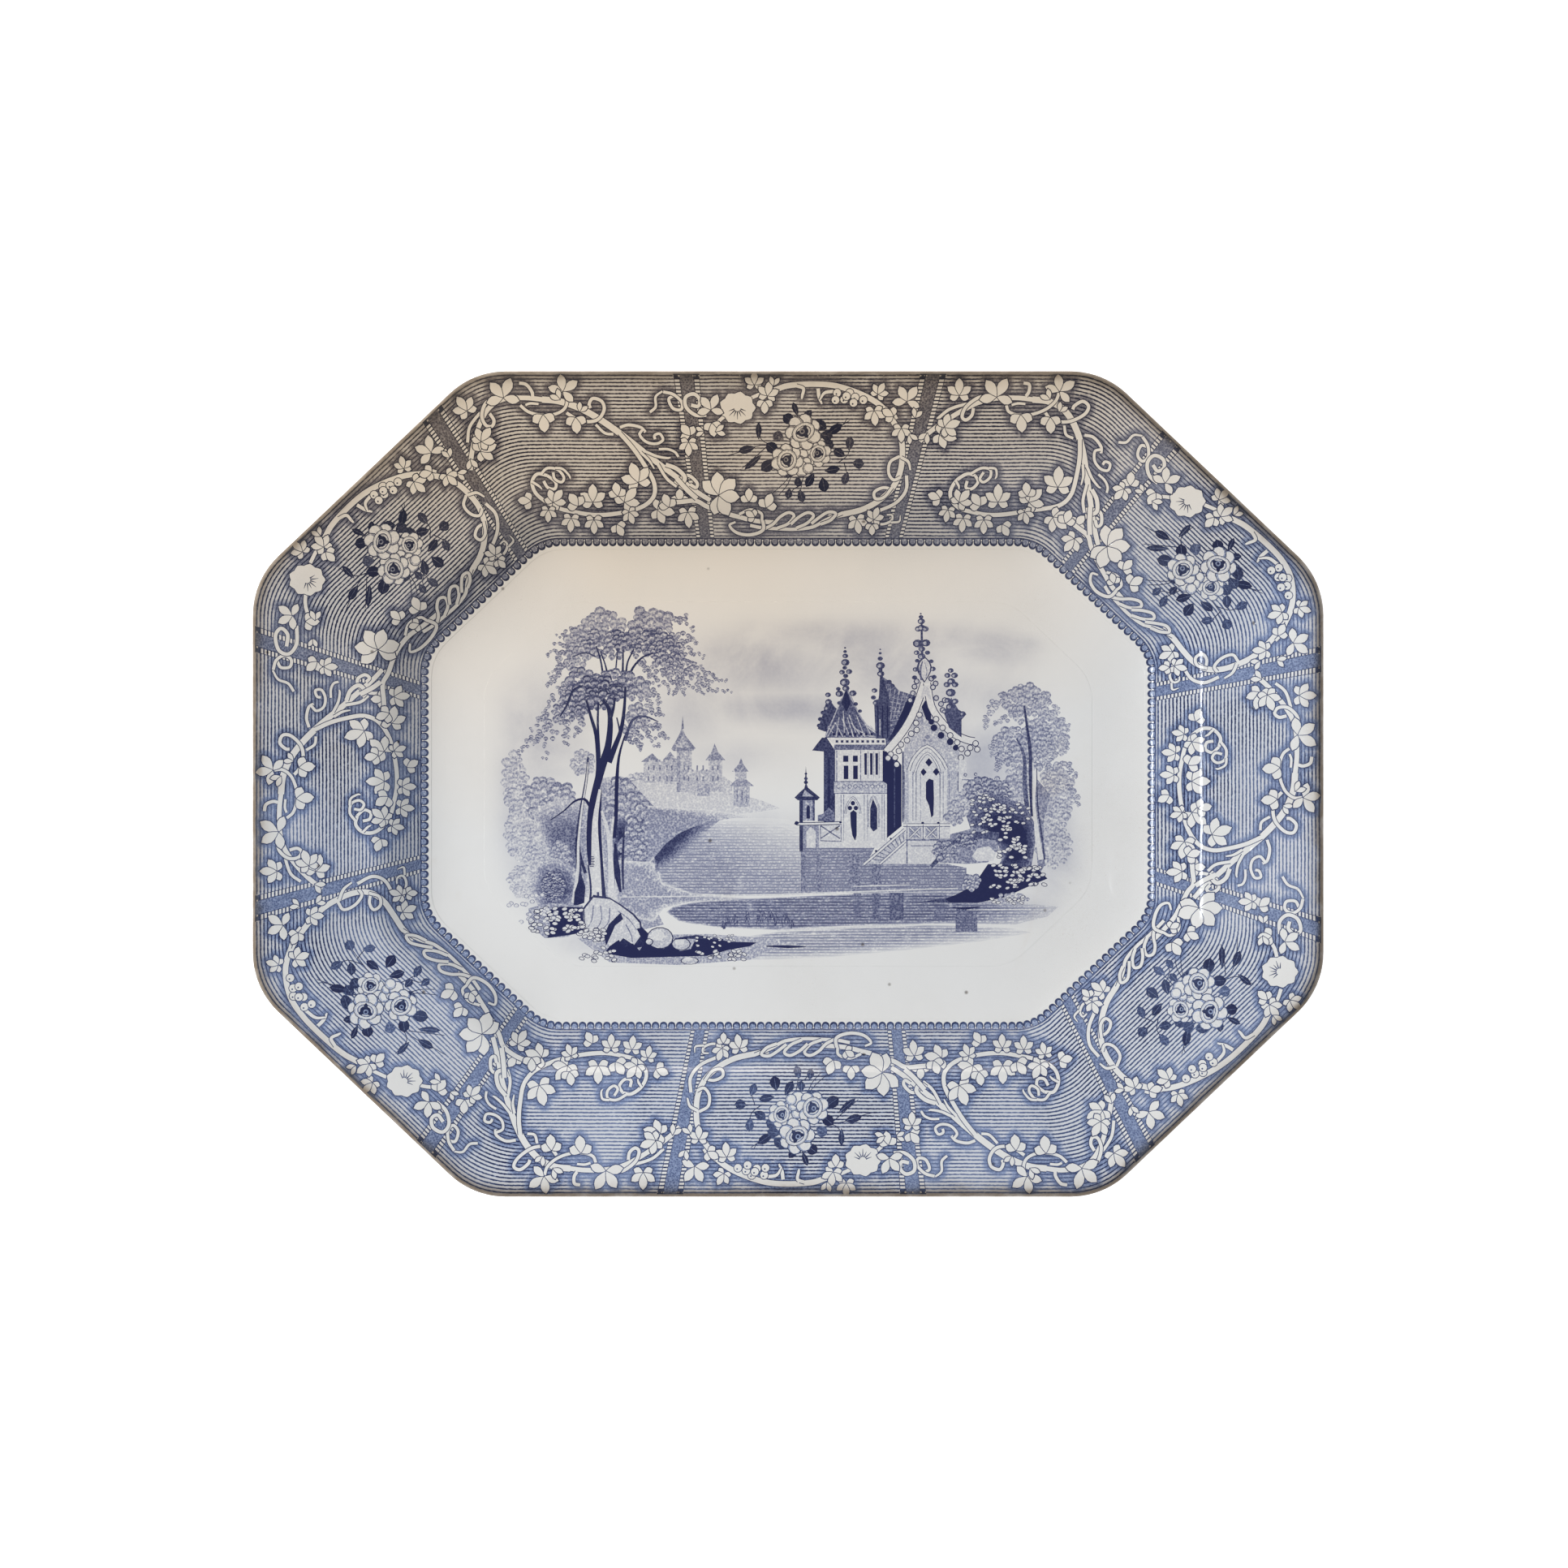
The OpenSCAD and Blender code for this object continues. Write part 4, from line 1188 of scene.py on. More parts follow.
    blobStack([(60.2, 42, 1.1), (59, 40.2, 1.2), (61.6, 40.2, 1.3), (58.8, 36.8, 1.3), (61.8, 36.8, 1.3),
               (60.4, 38, 1.5), (60.2, 33.8, 1.9), (59, 31, 1.2), (61.8, 30.6, 1.3), (60, 28.6, 1.6),
               (64.6, 26, 1.2), (58, 26.8, 1.1)], 0.74)
    edged([(44.6, 5), (46.6, 9.8), (51.5, 14), (56.4, 9.8), (58.8, 5.4)], 0.9, 0.03, 0.6, 0.25)
    edged([(46.8, 3.6), (48.4, 8), (51.6, 11.4), (54.8, 8), (56.4, 3.6)], 0.6, 0.03, 0.5, 0.22)
    blobStack([(51.6, 17.4, 0.9), (50.6, 16, 0.7), (52.6, 16, 0.7)], 0.4)
    for x, y, size in ((52.1, 8, 1.35), (50.1, 4.4, 1.2), (54.8, 4.5, 1.25)):
        area([(x - size, y), (x, y + size * 1.2), (x + size, y), (x, y - size * 1.2)], 0.95)
    area([(51, 0.6), (52.2, 2), (53.8, 1.4), (54, -5), (53.8, -11.6), (53, -12.4), (52.2, -8), (51, -5.4)],
         0.95)
    for x, tone in (
            (43, 0.6), (46.2, 0.35), (47.4, 0.5), (49, 0.25), (56.2, 0.5), (57.4, 0.35), (59.6, 0.3),
            (62.9, 0.62)):
        stroke([(x, 4.6), (x, -13.6)], [0.35, 0.2], tone, 1)
    stroke([(42.5, 12), (42.5, -14)], [0.6, 0.5], 0.7, 1)
    area([(63.4, 9), (66, 9), (66, 2.4), (71, 1.8), (68, -5), (64, -9)], 0.05)
    for x, y in ((65.6, 3.4), (69.4, 3.6)):
        disc(Vector((x, y)), 0.7, 0.5, sides=7)
        disc(Vector((x, y)), 0.35, 0.1, sides=7)
    stroke([(64.4, 1.6), (71, 1.4)], [0.4, 0.4], 0.4, 1)
    # the kiosk, the rails, the steps and the terrace
    area([(6.2, 1), (6.6, 6.6), (7, 1)], 0.82)
    blobStack([(6.6, 2, 0.7), (6.6, 3.8, 0.5), (6.6, 0.6, 0.8)], 0.82)
    area([(2.4, -5), (4.4, -3), (6, -1.6), (6.6, 0.8), (7.4, -1.4), (9.4, -3), (11.8, -5), (10.8, -6),
          (3.6, -6)], 0.82)
    area([(6.2, -2.2), (9.4, -4.6), (5.2, -4.6)], 0.24)
    box(4.2, -13.6, 9.9, -6, 0.28)
    box(4.2, -25, 5.5, -5.8, 0.82)
    box(9.1, -13.6, 9.9, -6, 0.62)
    area([(6.8, -8.6), (7.4, -7.6), (8.1, -8.6), (8.1, -12.8), (6.8, -12.8)], 0.88)
    area([(11, -11.6), (13, -11), (15, -8.6), (17, -10.6), (17.4, -13.8), (11, -13.8)], 0.5)
    box(5.5, -23.6, 13, -14.6, 0.3)
    area([(6.8, -17.6), (8.4, -15.8), (10.2, -17.6), (10.2, -23.6), (6.8, -23.6)], 0.05)
    box(11.4, -23.6, 20, -15, 0.06)
    edged([(2.6, -14.2), (5, -14.8), (19.8, -14.4)], 0.7, 0.02, 0.75, 0.3)
    stroke([(12, -15.4), (19.2, -20.2)], [0.45, 0.45], 0.55, 1)
    stroke([(12, -20.2), (19.2, -15.4)], [0.45, 0.45], 0.55, 1)
    stroke([(12, -15.6), (12, -21), (19.6, -21.2), (19.6, -15.4)], [0.4, 0.4], 0.45, 1)
    blobStack([(3.2, -14.4, 0.8), (19.4, -14.2, 0.5)], 0.85)
    area([(43, -15.4), (60, -15.4), (60, -29.6), (35.4, -29.6), (43, -23)], 0.06)
    edged([(42.6, -15.2), (60, -15.2)], 0.8, 0.02, 0.55, 0.25)
    for x0, x1 in ((44.8, 49.2), (50.8, 55.2)):
        box(x0, -20, x1, -15.9, 0.26)
        edged([(x0 + 0.2, -16), (x1 - 0.2, -19.9)], 0.5, 0.05, 0.55, 0.2)
        edged([(x0 + 0.2, -19.9), (x1 - 0.2, -16)], 0.5, 0.05, 0.55, 0.2)
    for x in (44, 50, 56):
        stroke([(x, -15), (x, -20.6)], [0.3, 0.3], 0.5, 1)
    blobStack([(49.8, -14.4, 0.55), (55.6, -14.4, 0.55)], 0.85)
    stroke([(43.4, -20.7), (60, -20.6)], [0.7, 0.7], 0.42, 1)
    stroke([(45.4, -22.9), (60, -22.8)], [0.4, 0.3], 0.4, 1)
    stroke([(44, -21), (44, -29.4)], [0.5, 0.5], 0.45, 1)
    area([(43, -17), (43.2, -22.4), (35.6, -29.6), (28, -29.6)], 0.12)
    for i in range(9):
        share = i / 9
        stroke([(42.4 - 13.4 * share, -17.6 - 11.4 * share), (43 - 8.4 * share, -21.8 - 7.4 * share)],
               [0.4, 0.3], 0.5, 1)
    edged([(43.2, -16.8), (28, -29.8)], 0.7, 0.02, 0.55, 0.28)
    edged([(43.6, -21), (34, -29.6)], 0.6, 0.02, 0.5, 0.25)
    blobStack([(32.6, -24.8, 0.5), (38, -20.2, 0.4)], 0.85)


def drawRightTree():
    clump(97, 18, 6.6, 8.4, 1.5, 0.3)
    clump(99, -4, 6.6, 11, 1.6, 0.26)
    clump(98, -22, 6.4, 9.4, 1.6, 0.22)
    area([(92, 2), (97, -4), (94.6, -14), (95, -30), (92.6, -34), (91, -10)], 0.36)
    for tuft in ((88, 31, 9, 5.6, 1.5, 0.36), (83, 14, 7.4, 7, 1.6, 0.34), (92, 14, 6, 9, 1.5, 0.38),
                 (85, 0, 5, 8, 1.6, 0.3)):
        clump(*tuft)
    for points in (
            [(80, 33), (76, 29), (73.6, 24), (73, 21)], [(84, 26), (79, 24), (77, 22)],
            [(93, 32), (98, 29.6), (100, 27)], [(96, 26), (101, 24), (104, 20.6)],
            [(98, 18), (102, 15), (103, 12)], [(79, 17), (76, 14), (75.6, 10.6)],
            [(81, 12), (78.4, 8), (77, 5)], [(100, 8), (105, 5), (106, 2)],
            [(103, 0), (106, -4), (108, -8)], [(96, 12), (97, 8), (95, 5)], [(88, 26), (84, 20), (83, 18)]):
        frond(points, 1.9, 0.34)
    for line in (([(87.4, 29), (88.6, 20), (89.6, 12), (89.8, 2), (90.4, -12)], [0.7, 1.3, 1.5], 0.8),
                 ([(84.6, 17), (87.4, 10), (87.6, 0), (88.6, -10)], [0.7, 1.5, 1.8], 0.62),
                 ([(90.6, 8), (91, -8), (92.4, -20), (93.6, -28)], [0.4, 1.5, 2.0], 0.03),
                 ([(92, 6), (92.4, -8), (94, -20), (95, -28)], [0.3, 0.6, 0.7], 0.7)):
        stroke(*line)


def drawRightBush():
    clump(62, -11, 3.6, 3.4, 1.5, 0.34)
    clump(66, -7, 5, 4.4, 1.5, 0.26)
    clump(74, -3, 8.6, 5.4, 1.5, 0.5)
    shade([(66, -12), (69, -5), (74, -3), (81, -5), (88, -8), (91, -14), (91.4, -22), (90, -31), (84, -35),
           (76, -34), (79, -28), (78, -23), (74, -20.6), (68, -18)], 0.93, 0.5, 0.5, (85, -22))
    area([(60, -18.6), (70, -16), (76, -18), (78, -24), (74, -29), (66, -29.6), (56, -29), (60, -24)], 0.34)
    area([(68, -26.8), (70, -23.8), (74.4, -23), (77, -25.6), (76, -28.4), (70, -28.6)], 0.05)
    stroke([(53, -30.6), (57, -26.4), (62, -21.8), (70, -19), (78, -19.4)], [1.4, 2.4, 3], 0.66)
    clump(58, -25, 4.4, 3.6, 1.3, 0.5)
    clump(66, -21, 4.4, 2.4, 1.2, 0.6)
    area([(57, -42.8), (62, -41), (67, -38.4), (71, -34), (74, -29.6), (80, -30), (92, -31), (96, -35),
          (88, -38.4), (80, -42), (70, -44), (58, -43.9)], 0.92)
    area([(50, -43.4), (58, -42.4), (60, -43.9), (53, -44)], 0.7)
    stroke([(61, -45.8), (66, -46), (71, -45.4)], [0.5, 0.9, 0.3], 0.85)
    clump(68, -36.4, 3.4, 2.6, 1.2, 0.45)
    clump(83, -42.4, 6, 1.8, 1.2, 0.3)
    for patch in ((68, -12, 76, -4, 22, 0.75), (76, -10.4, 90, -7.4, 20, 0.8), (68, -18, 82, -12, 22, 0.8),
                  (80, -19, 89, -10, 16, 0.75), (78, -29, 88, -19.6, 26, 0.9),
                  (76, -34.4, 86, -30, 20, 0.85), (84, -37.4, 95, -30.6, 30, 0.95),
                  (74, -38.6, 86, -35.4, 14, 0.8), (75, -44.2, 87, -41.6, 14, 0.75)):
        leafBlobs(*patch)


def drawLeftBushes():
    for tuft in ((-101, 0, 4.4, 12, 1.7, 0.2), (-99, -18, 5.4, 10, 1.6, 0.16),
                 (-91, -24, 5.4, 10, 1.4, 0.18), (-98, -36, 5.6, 6, 1.3, 0.16),
                 (-90, -6, 7, 8.6, 2.0, 0.34), (-82, -12, 5, 12, 1.9, 0.36)):
        clump(*tuft)
    shade([(-95, -10), (-86, -6), (-74, -6), (-72, -30), (-74, -42), (-82, -40), (-88, -28), (-92, -18)],
          0.5)
    clump(-84, -30, 4, 9, 1.2, 0.34)
    shade([(-93, -30), (-86, -28), (-79, -31), (-76, -41), (-82, -48), (-91, -48), (-95, -40)], 0.7)
    clump(-87, -38, 4.4, 5.6, 0.9, 0.62)
    clump(-56, 0, 5, 3.6, 1.5, 0.2)
    shade([(-71, 2), (-62, 3), (-50, -2), (-46, -12), (-47, -24), (-51, -34), (-58, -42), (-68, -46)], 0.55,
          0.5)
    shade([(-66, -8), (-60, -9), (-55, -16), (-55, -34), (-60, -42), (-65, -42)], 0.88, 0.55)
    for tuft in ((-60, -5, 7, 6.4, 2.1, 0.38), (-54, -13, 6, 7, 2.1, 0.4), (-56, -24, 6.6, 8.6, 1.9, 0.42),
                 (-43.6, -9.4, 6.4, 6.6, 2.0, 0.34), (-40, -12, 3.6, 5, 1.7, 0.34),
                 (-58, -33, 4, 4.6, 1.4, 0.4)):
        clump(*tuft)
    area([(-60, -36), (-52, -38.4), (-44, -41), (-50, -44), (-46, -52), (-54, -54), (-64, -46)], 0.24)


def drawLeftTrees():
    # the upper crown, its hanging sprays, and the lower crown
    for points in (
            [(-74, 55), (-80, 57), (-85, 54.6)], [(-76, 53), (-84, 52), (-89, 47.6)],
            [(-78, 50), (-84, 48), (-85, 46)], [(-75, 48), (-82, 45), (-88, 41)],
            [(-80, 46), (-86, 40), (-89, 36)], [(-82, 44), (-86, 41)], [(-44, 60), (-39, 61.6), (-35, 57)],
            [(-43, 55), (-37, 54), (-34, 52)], [(-43, 53), (-37, 50), (-31.4, 47)],
            [(-44, 51), (-39, 47), (-32.4, 44.4)], [(-42, 48), (-36, 44), (-30, 41), (-27, 40)],
            [(-41, 46), (-36, 42), (-30, 38.6), (-23, 38.4)],
            [(-40, 44), (-35, 40), (-29, 35.4), (-21.6, 34.2)],
            [(-42, 45), (-40, 40), (-35, 36), (-31, 33.4)], [(-45, 47), (-46, 40), (-44, 34)],
            [(-46, 45), (-42, 38), (-38, 33.6)], [(-47, 47), (-49, 41), (-48, 36.6)],
            [(-55, 46), (-52, 43), (-50.4, 37.6)], [(-44, 42), (-41, 37), (-43, 33.6)]):
        frond(points, 2.0, 0.46)
    for tuft in ((-68, 59, 8, 5.6, 2.0, 0.36), (-51, 59, 8, 5, 2.0, 0.36), (-76, 53, 6, 5.4, 1.7, 0.38),
                 (-67, 52, 9, 5, 1.7, 0.5), (-52, 53, 10, 4.4, 1.7, 0.56), (-46, 49.6, 6.4, 4, 1.5, 0.6),
                 (-62, 53.4, 3.4, 3.4, 1.5, 0.66), (-78, 47, 4.6, 3.4, 1.5, 0.4)):
        clump(*tuft)
    for line in (([(-71, 51), (-69.4, 46), (-68.4, 40)], [0.5, 0.8], 0.84),
                 ([(-69.4, 49), (-67.6, 44), (-66.8, 40)], [0.4, 0.8], 0.84),
                 ([(-63, 50), (-63.8, 42)], [0.4, 0.6], 0.8), ([(-61, 50), (-61.2, 40)], [0.5, 0.9], 0.84),
                 ([(-57, 50), (-59.4, 45), (-60, 40)], [0.5, 0.8], 0.84),
                 ([(-50, 48.4), (-54, 46.8), (-57.4, 43), (-59.4, 38.4)], [0.5, 1.0], 0.84),
                 ([(-80, 47), (-75, 48.6), (-71, 47)], [0.4, 0.6], 0.7)):
        stroke(*line)
    for points in (
            [(-80, 36), (-86, 32), (-92, 25)], [(-81, 33), (-88, 26), (-95, 20)],
            [(-83, 29), (-90, 22), (-96, 16), (-100, 11)], [(-84, 27), (-91, 19), (-94, 15)],
            [(-82, 26), (-88, 18), (-90, 10)], [(-80, 26), (-82, 20), (-82, 14.6)],
            [(-78, 28), (-77, 22), (-79, 18)], [(-57, 36), (-50, 34), (-47.4, 30)], [(-56, 33), (-51, 30)],
            [(-57, 28), (-50, 27.6), (-46, 25)], [(-58, 25), (-51, 23), (-47, 19), (-45, 17)],
            [(-56, 24), (-52, 19), (-47.6, 13.4)], [(-58, 22), (-55, 17), (-54, 12.4)],
            [(-60, 20), (-57, 16), (-55, 14.4)], [(-80, 37), (-85, 36)]):
        frond(points, 2.1, 0.48)
    for tuft in ((-76, 38, 6, 4.6, 1.7, 0.5), (-64, 38, 7, 4.4, 1.7, 0.56), (-56, 36, 4.4, 4.4, 1.6, 0.44),
                 (-70, 34, 9, 5.4, 1.7, 0.74), (-78, 31, 5.6, 5.4, 1.7, 0.62),
                 (-56, 25.4, 4, 3.6, 1.5, 0.42), (-76, 8, 4.4, 4.4, 1.2, 0.24)):
        clump(*tuft)
    stroke([(-84.4, 25), (-81.6, 29.6), (-79.6, 34.6), (-76, 36.4)], [0.5, 0.9, 0.6], 0.88)
    stroke([(-48, 23), (-53, 25), (-57.6, 23.6), (-60.4, 16)], [0.4, 0.9, 1.2], 0.7)
    # trunks
    for line in (([(-76, -6), (-77.8, -18), (-77, -26), (-75, -33)], [0.5, 0.9, 1.2], 0.88),
                 ([(-74, 10), (-74.6, 2), (-76.6, -10), (-78, -22), (-77.4, -32), (-79, -44)],
                  [0.7, 1.6, 2.2], 0.8),
                 ([(-74, 8), (-74.8, 0), (-76.4, -10), (-77.6, -22), (-77.8, -32), (-79.6, -44)],
                  [0.3, 0.8, 1.3], 0.05),
                 ([(-88, -13.4), (-83, -10), (-79, -6.4), (-75.4, -5.6), (-73.4, -8)], [0.3, 0.7, 1.2],
                  0.9)):
        stroke(*line)
    area([(-76.6, -33), (-75, -38), (-75.4, -44), (-79.4, -45.4), (-79, -40)], 0.9)
    for line in (([(-74.6, 31), (-73, 25), (-71, 18), (-70.2, 8), (-70.4, 2)], [0.8, 1.4, 2.0], 0.95),
                 ([(-70.2, 30), (-70.4, 22), (-69.8, 10)], [0.7, 1.0], 0.95),
                 ([(-68.6, 31), (-66.4, 28), (-65.8, 22), (-66.6, 14), (-68.4, 8), (-70.6, 0), (-72.8, -10),
                   (-73.4, -22), (-72.8, -30)],
                  [1.0, 3.0, 2.2], 0.95),
                 ([(-64, 32), (-64.6, 28), (-65.8, 24)], [0.6, 1.4], 0.95),
                 ([(-60.2, 36), (-60.6, 28), (-61.8, 20), (-64, 14), (-66.4, 8)], [0.8, 1.5, 2.4], 0.95),
                 ([(-63.4, 24.6), (-62.4, 20), (-62.6, 16)], [0.5, 0.8], 0.9),
                 ([(-60.4, 18), (-62.6, 10), (-63.4, 0), (-63.6, -10), (-64.4, -20)], [0.5, 1.4, 1.4],
                  0.93),
                 ([(-69.2, -2), (-70, -16), (-69.6, -30), (-68.4, -44)], [0.6, 2.2, 2.6], 0.9),
                 ([(-64, -22), (-63.4, -32), (-62, -40)], [0.8, 2.6, 0.8], 0.93),
                 ([(-60.6, -16), (-61.2, -28), (-61, -39)], [0.5, 1.0, 0.6], 0.85),
                 ([(-69.6, -2), (-71.4, -14), (-71.2, -28), (-71, -44)], [1.0, 2.6, 4.6], 0.04),
                 ([(-69, -10), (-66.6, -18), (-65.6, -30), (-65.2, -44)], [0.8, 1.6, 2.8], 0.05),
                 ([(-64.6, -12), (-65.4, -20), (-65.4, -26)], [0.8, 1.0], 0.06),
                 ([(-74, -30), (-73, -38), (-73.4, -45)], [0.6, 0.9], 0.85)):
        stroke(*line)
    for i in range(7):
        box(-73.4, -27 - i * 0.6, -71.9 + 0.3 * (i % 2), -26.7 - i * 0.6, 0.85)
    stroke([(-70.4, -40), (-70, -44.6)], [0.9, 0.7], 0.7)


def drawForeground():
    area([(-78, -57), (-60, -56), (-30, -55.5), (-8, -57), (6, -59.6), (-6, -61.6), (-14, -65), (-40, -67),
          (-66, -66)], 0.2)
    area([(-96, -46), (-88, -44), (-76, -45), (-75, -54), (-82, -56.6), (-90, -57), (-96, -52)], 0.25)
    area([(-90, -47), (-84, -45.4), (-76, -45.6), (-75.4, -55), (-82, -56), (-89, -57), (-88, -52)], 0.9)
    # the root mass
    area([(-76, -46), (-72, -41), (-66, -42), (-62, -44.4), (-57, -48), (-54.4, -51), (-53.6, -56),
          (-52, -60), (-58, -61), (-66, -61), (-67, -55), (-75, -54.4)], 0.85)
    area([(-75.4, -46.4), (-72, -42), (-66, -42.6), (-62.4, -44.8), (-57.6, -48.4), (-55, -51.4),
          (-54.4, -56), (-57, -59.6), (-61, -57), (-64, -60.4), (-66.4, -60), (-66.6, -55.4), (-75, -54)],
         0.07)
    for points in (
            [(-72, -45), (-72.6, -50), (-74, -53)], [(-69.4, -45), (-69, -50), (-71, -54)],
            [(-66, -46), (-66.4, -51), (-69, -54)], [(-63, -47), (-59, -50), (-56, -54)],
            [(-60, -52), (-58, -56), (-57.6, -58.6)]):
        stroke(points, [0.5, 0.3], 0.4)
    area([(-66.4, -52), (-62, -47.6), (-61, -50), (-64, -52.4), (-66, -57), (-67.4, -60), (-68, -56)], 0.9)
    area([(-66, -60), (-62.6, -57.6), (-61, -60.6), (-57.4, -59), (-55, -61.6), (-52.4, -58), (-50, -60.4),
          (-46, -61), (-43.4, -59), (-40, -61.8), (-36, -61), (-34, -57), (-28, -57.4), (-20, -58.4),
          (-11.6, -58.6), (-14, -60), (-22, -61.4), (-30, -63.6), (-44, -64), (-58, -64.4), (-68, -62.6)],
         0.94)
    area([(-56, -53.6), (-54, -53), (-50, -57), (-48.6, -60.6), (-52, -59), (-54.6, -56.4)], 0.93)
    for x, y, size, squash in (
            (-47.4, -57, 5, 0.82), (-39.6, -59.2, 3.6, 0.66), (-36.4, -65.4, 3.4, 0.42),
            (-51.4, -58.4, 1.6, 0.8)):
        disc(Vector((x, y)), size, 0.88, squash, sides=14)
        disc(Vector((x, y)), size - 0.4, 0.12, squash, sides=14)
        disc(Vector((x - size * 0.15, y + size * 0.2)), size * 0.5, 0.03, squash, sides=10)
    stroke([(-8, -60), (0, -60.2), (6.6, -60.2)], [0.4, 1.1, 0.3], 0.9)
    stroke([(-42, -57.4), (-34, -56.6), (-24, -57.6)], [0.5, 1.4, 0.6], 0.8)
    for x0, y0, x1, y1, count, size in (
            (-95, -55.6, -76, -45, 60, 1.0), (-76, -58, -67.4, -53.6, 22, 0.95),
            (-34, -60.4, -20, -56, 20, 0.6), (-34, -65, -16, -61.6, 22, 0.9),
            (-77, -66, -64, -60, 18, 0.9)):
        leafBlobs(x0, y0, x1, y1, count, size)
    for _ in range(26):
        spot = Vector((chance.uniform(-104, -86), chance.uniform(-52, -40)))
        disc(spot, 1.0, 0.3, 0.8, sides=8)
        disc(spot, 0.7, 0.03, 0.8, sides=8)


drawLeftBushes()
drawCastle()
drawWater()
drawRightTree()
drawPavilion()
drawRightBush()
drawLeftTrees()
drawForeground()
centreDrawing, drawing = drawing, []
print("scene drawn:", len(centreDrawing), "shapes")

# soft washes of sky and distance: place, half width, half height, strength
washes = [(-8, 44, 26, 9, 0.082), (16, 54, 26, 6, 0.072), (-2, 28, 24, 5, 0.077), (36, 44, 22, 12, 0.062),
          (75, 50, 12, 6, 0.082), (88, 52, 8, 3, 0.072), (58, 54, 12, 5, 0.058), (66, 34, 16, 9, 0.053),
          (-92, 18, 16, 16, 0.048), (-104, -4, 6, 22, 0.038), (72, 8, 14, 12, 0.067),
          (100, -26, 12, 16, 0.048), (-10, -16, 14, 5, 0.034), (86, -46, 18, 4, 0.067),
          (-36, 30, 14, 12, 0.038), (-80, -60, 16, 5, 0.038), (-20, 10, 16, 6, 0.024),
          (-88, -30, 12, 16, 0.058)]
centrePiece = mosaic("centrePrint", ringPoints(section["flatFrom"], 6, 20), centreDrawing, washes,
                     section["centreLift"], True)
print("centre print laid:", len(centrePiece.data.polygons))

# finishes

finish = {
    "glazeColour": (0.81, 0.81, 0.805),
    # the glaze with painted warm light, used on the far side
    "warmLitGlaze": (0.80, 0.665, 0.51),
    "stainColour": (0.28, 0.16, 0.08),
    "edgeColour": (0.085, 0.058, 0.038),
    "glossRoughness": 0.09,
    "linePitch": 1.32,         # of the engraved ground lines, in millimetres
    "ripplePitch": 1.1,
    "clayColour": (0.62, 0.50, 0.36),
    "age": 1.0,                # 0 is a new platter
    "borderInkPower": 0.96,    # under 1 prints darker
    "sceneInkPower": 0.7,
    "sceneViolet": 0.85,
}


class Wiring:
    # makes and links nodes in a tree by short calls
    def __init__(self, tree):
        self.tree = tree

    def set(self, node, values):
        for key, value in values.items():
            socket = node.inputs[key]
            if isinstance(value, bpy.types.NodeSocket):
                self.tree.links.new(value, socket)
            else:
                socket.default_value = value

    def add(self, kind, values=None, **settings):
        node = self.tree.nodes.new("ShaderNode" + kind)
        for key, value in settings.items():
            setattr(node, key, value)
        self.set(node, values or {})
        return node

    def math(self, operation, a, b=0.0, clamp=False):
        return self.add("Math", {0: a, 1: b}, operation=operation, use_clamp=clamp).outputs[0]

    def times(self, a, b, clamp=False):
        return self.math('MULTIPLY', a, b, clamp)

    def plus(self, a, b):
        return self.math('ADD', a, b)

    def minus(self, a, b):
        return self.math('SUBTRACT', a, b)

    def span(self, value, low, high, newLow=0.0, newHigh=1.0, smooth=True):
        kind = 'SMOOTHSTEP' if smooth else 'LINEAR'
        values = {"Value": value, "From Min": low, "From Max": high, "To Min": newLow, "To Max": newHigh}
        return self.add("MapRange", values, interpolation_type=kind).outputs["Result"]

    def noise(self, place, scale, detail=2.0, roughness=0.5, distortion=0.0):
        values = {"Vector": place, "Scale": scale, "Detail": detail, "Roughness": roughness,
                  "Distortion": distortion}
        return self.add("TexNoise", values)

    def cells(self, place, scale, feature='F1', randomness=1.0):
        return self.add("TexVoronoi", {"Vector": place, "Scale": scale, "Randomness": randomness},
                        feature=feature)

    def mix(self, share, a, b, blend='MIX'):
        node = self.add("Mix", data_type='RGBA', blend_type=blend)
        self.set(node, {0: share, 6: a, 7: b})
        return node.outputs[2]

    def ramp(self, value, stops):
        node = self.add("ValToRGB", {"Fac": value})
        elements = node.color_ramp.elements
        while len(elements) < len(stops):
            elements.new(0.5)
        for element, (place, colour) in zip(elements, stops):
            element.position = place
            element.color = (*colour, 1)
        return node.outputs["Color"]

    def object(self):
        return self.add("TexCoord").outputs["Object"]

    def attribute(self, name):
        return self.add("Attribute", attribute_name=name)


def newGroup(name, inputs, outputs):
    tree = bpy.data.node_groups.new(name, 'ShaderNodeTree')
    kinds = {"value": 'NodeSocketFloat', "colour": 'NodeSocketColor', "vector": 'NodeSocketVector'}
    for label, kind, value in inputs:
        socket = tree.interface.new_socket(name=label, in_out='INPUT', socket_type=kinds[kind])
        if value is not None:
            socket.default_value = value
    for label, kind in outputs:
        tree.interface.new_socket(name=label, in_out='OUTPUT', socket_type=kinds[kind])
    wiring = Wiring(tree)
    start = tree.nodes.new("NodeGroupInput")
    end = tree.nodes.new("NodeGroupOutput")
    return tree, wiring, start.outputs, end.inputs


def useGroup(wiring, tree, values):
    node = wiring.add("Group")
    node.node_tree = tree
    wiring.set(node, values)
    return node.outputs


def colour4(colour):
    return (*colour, 1)


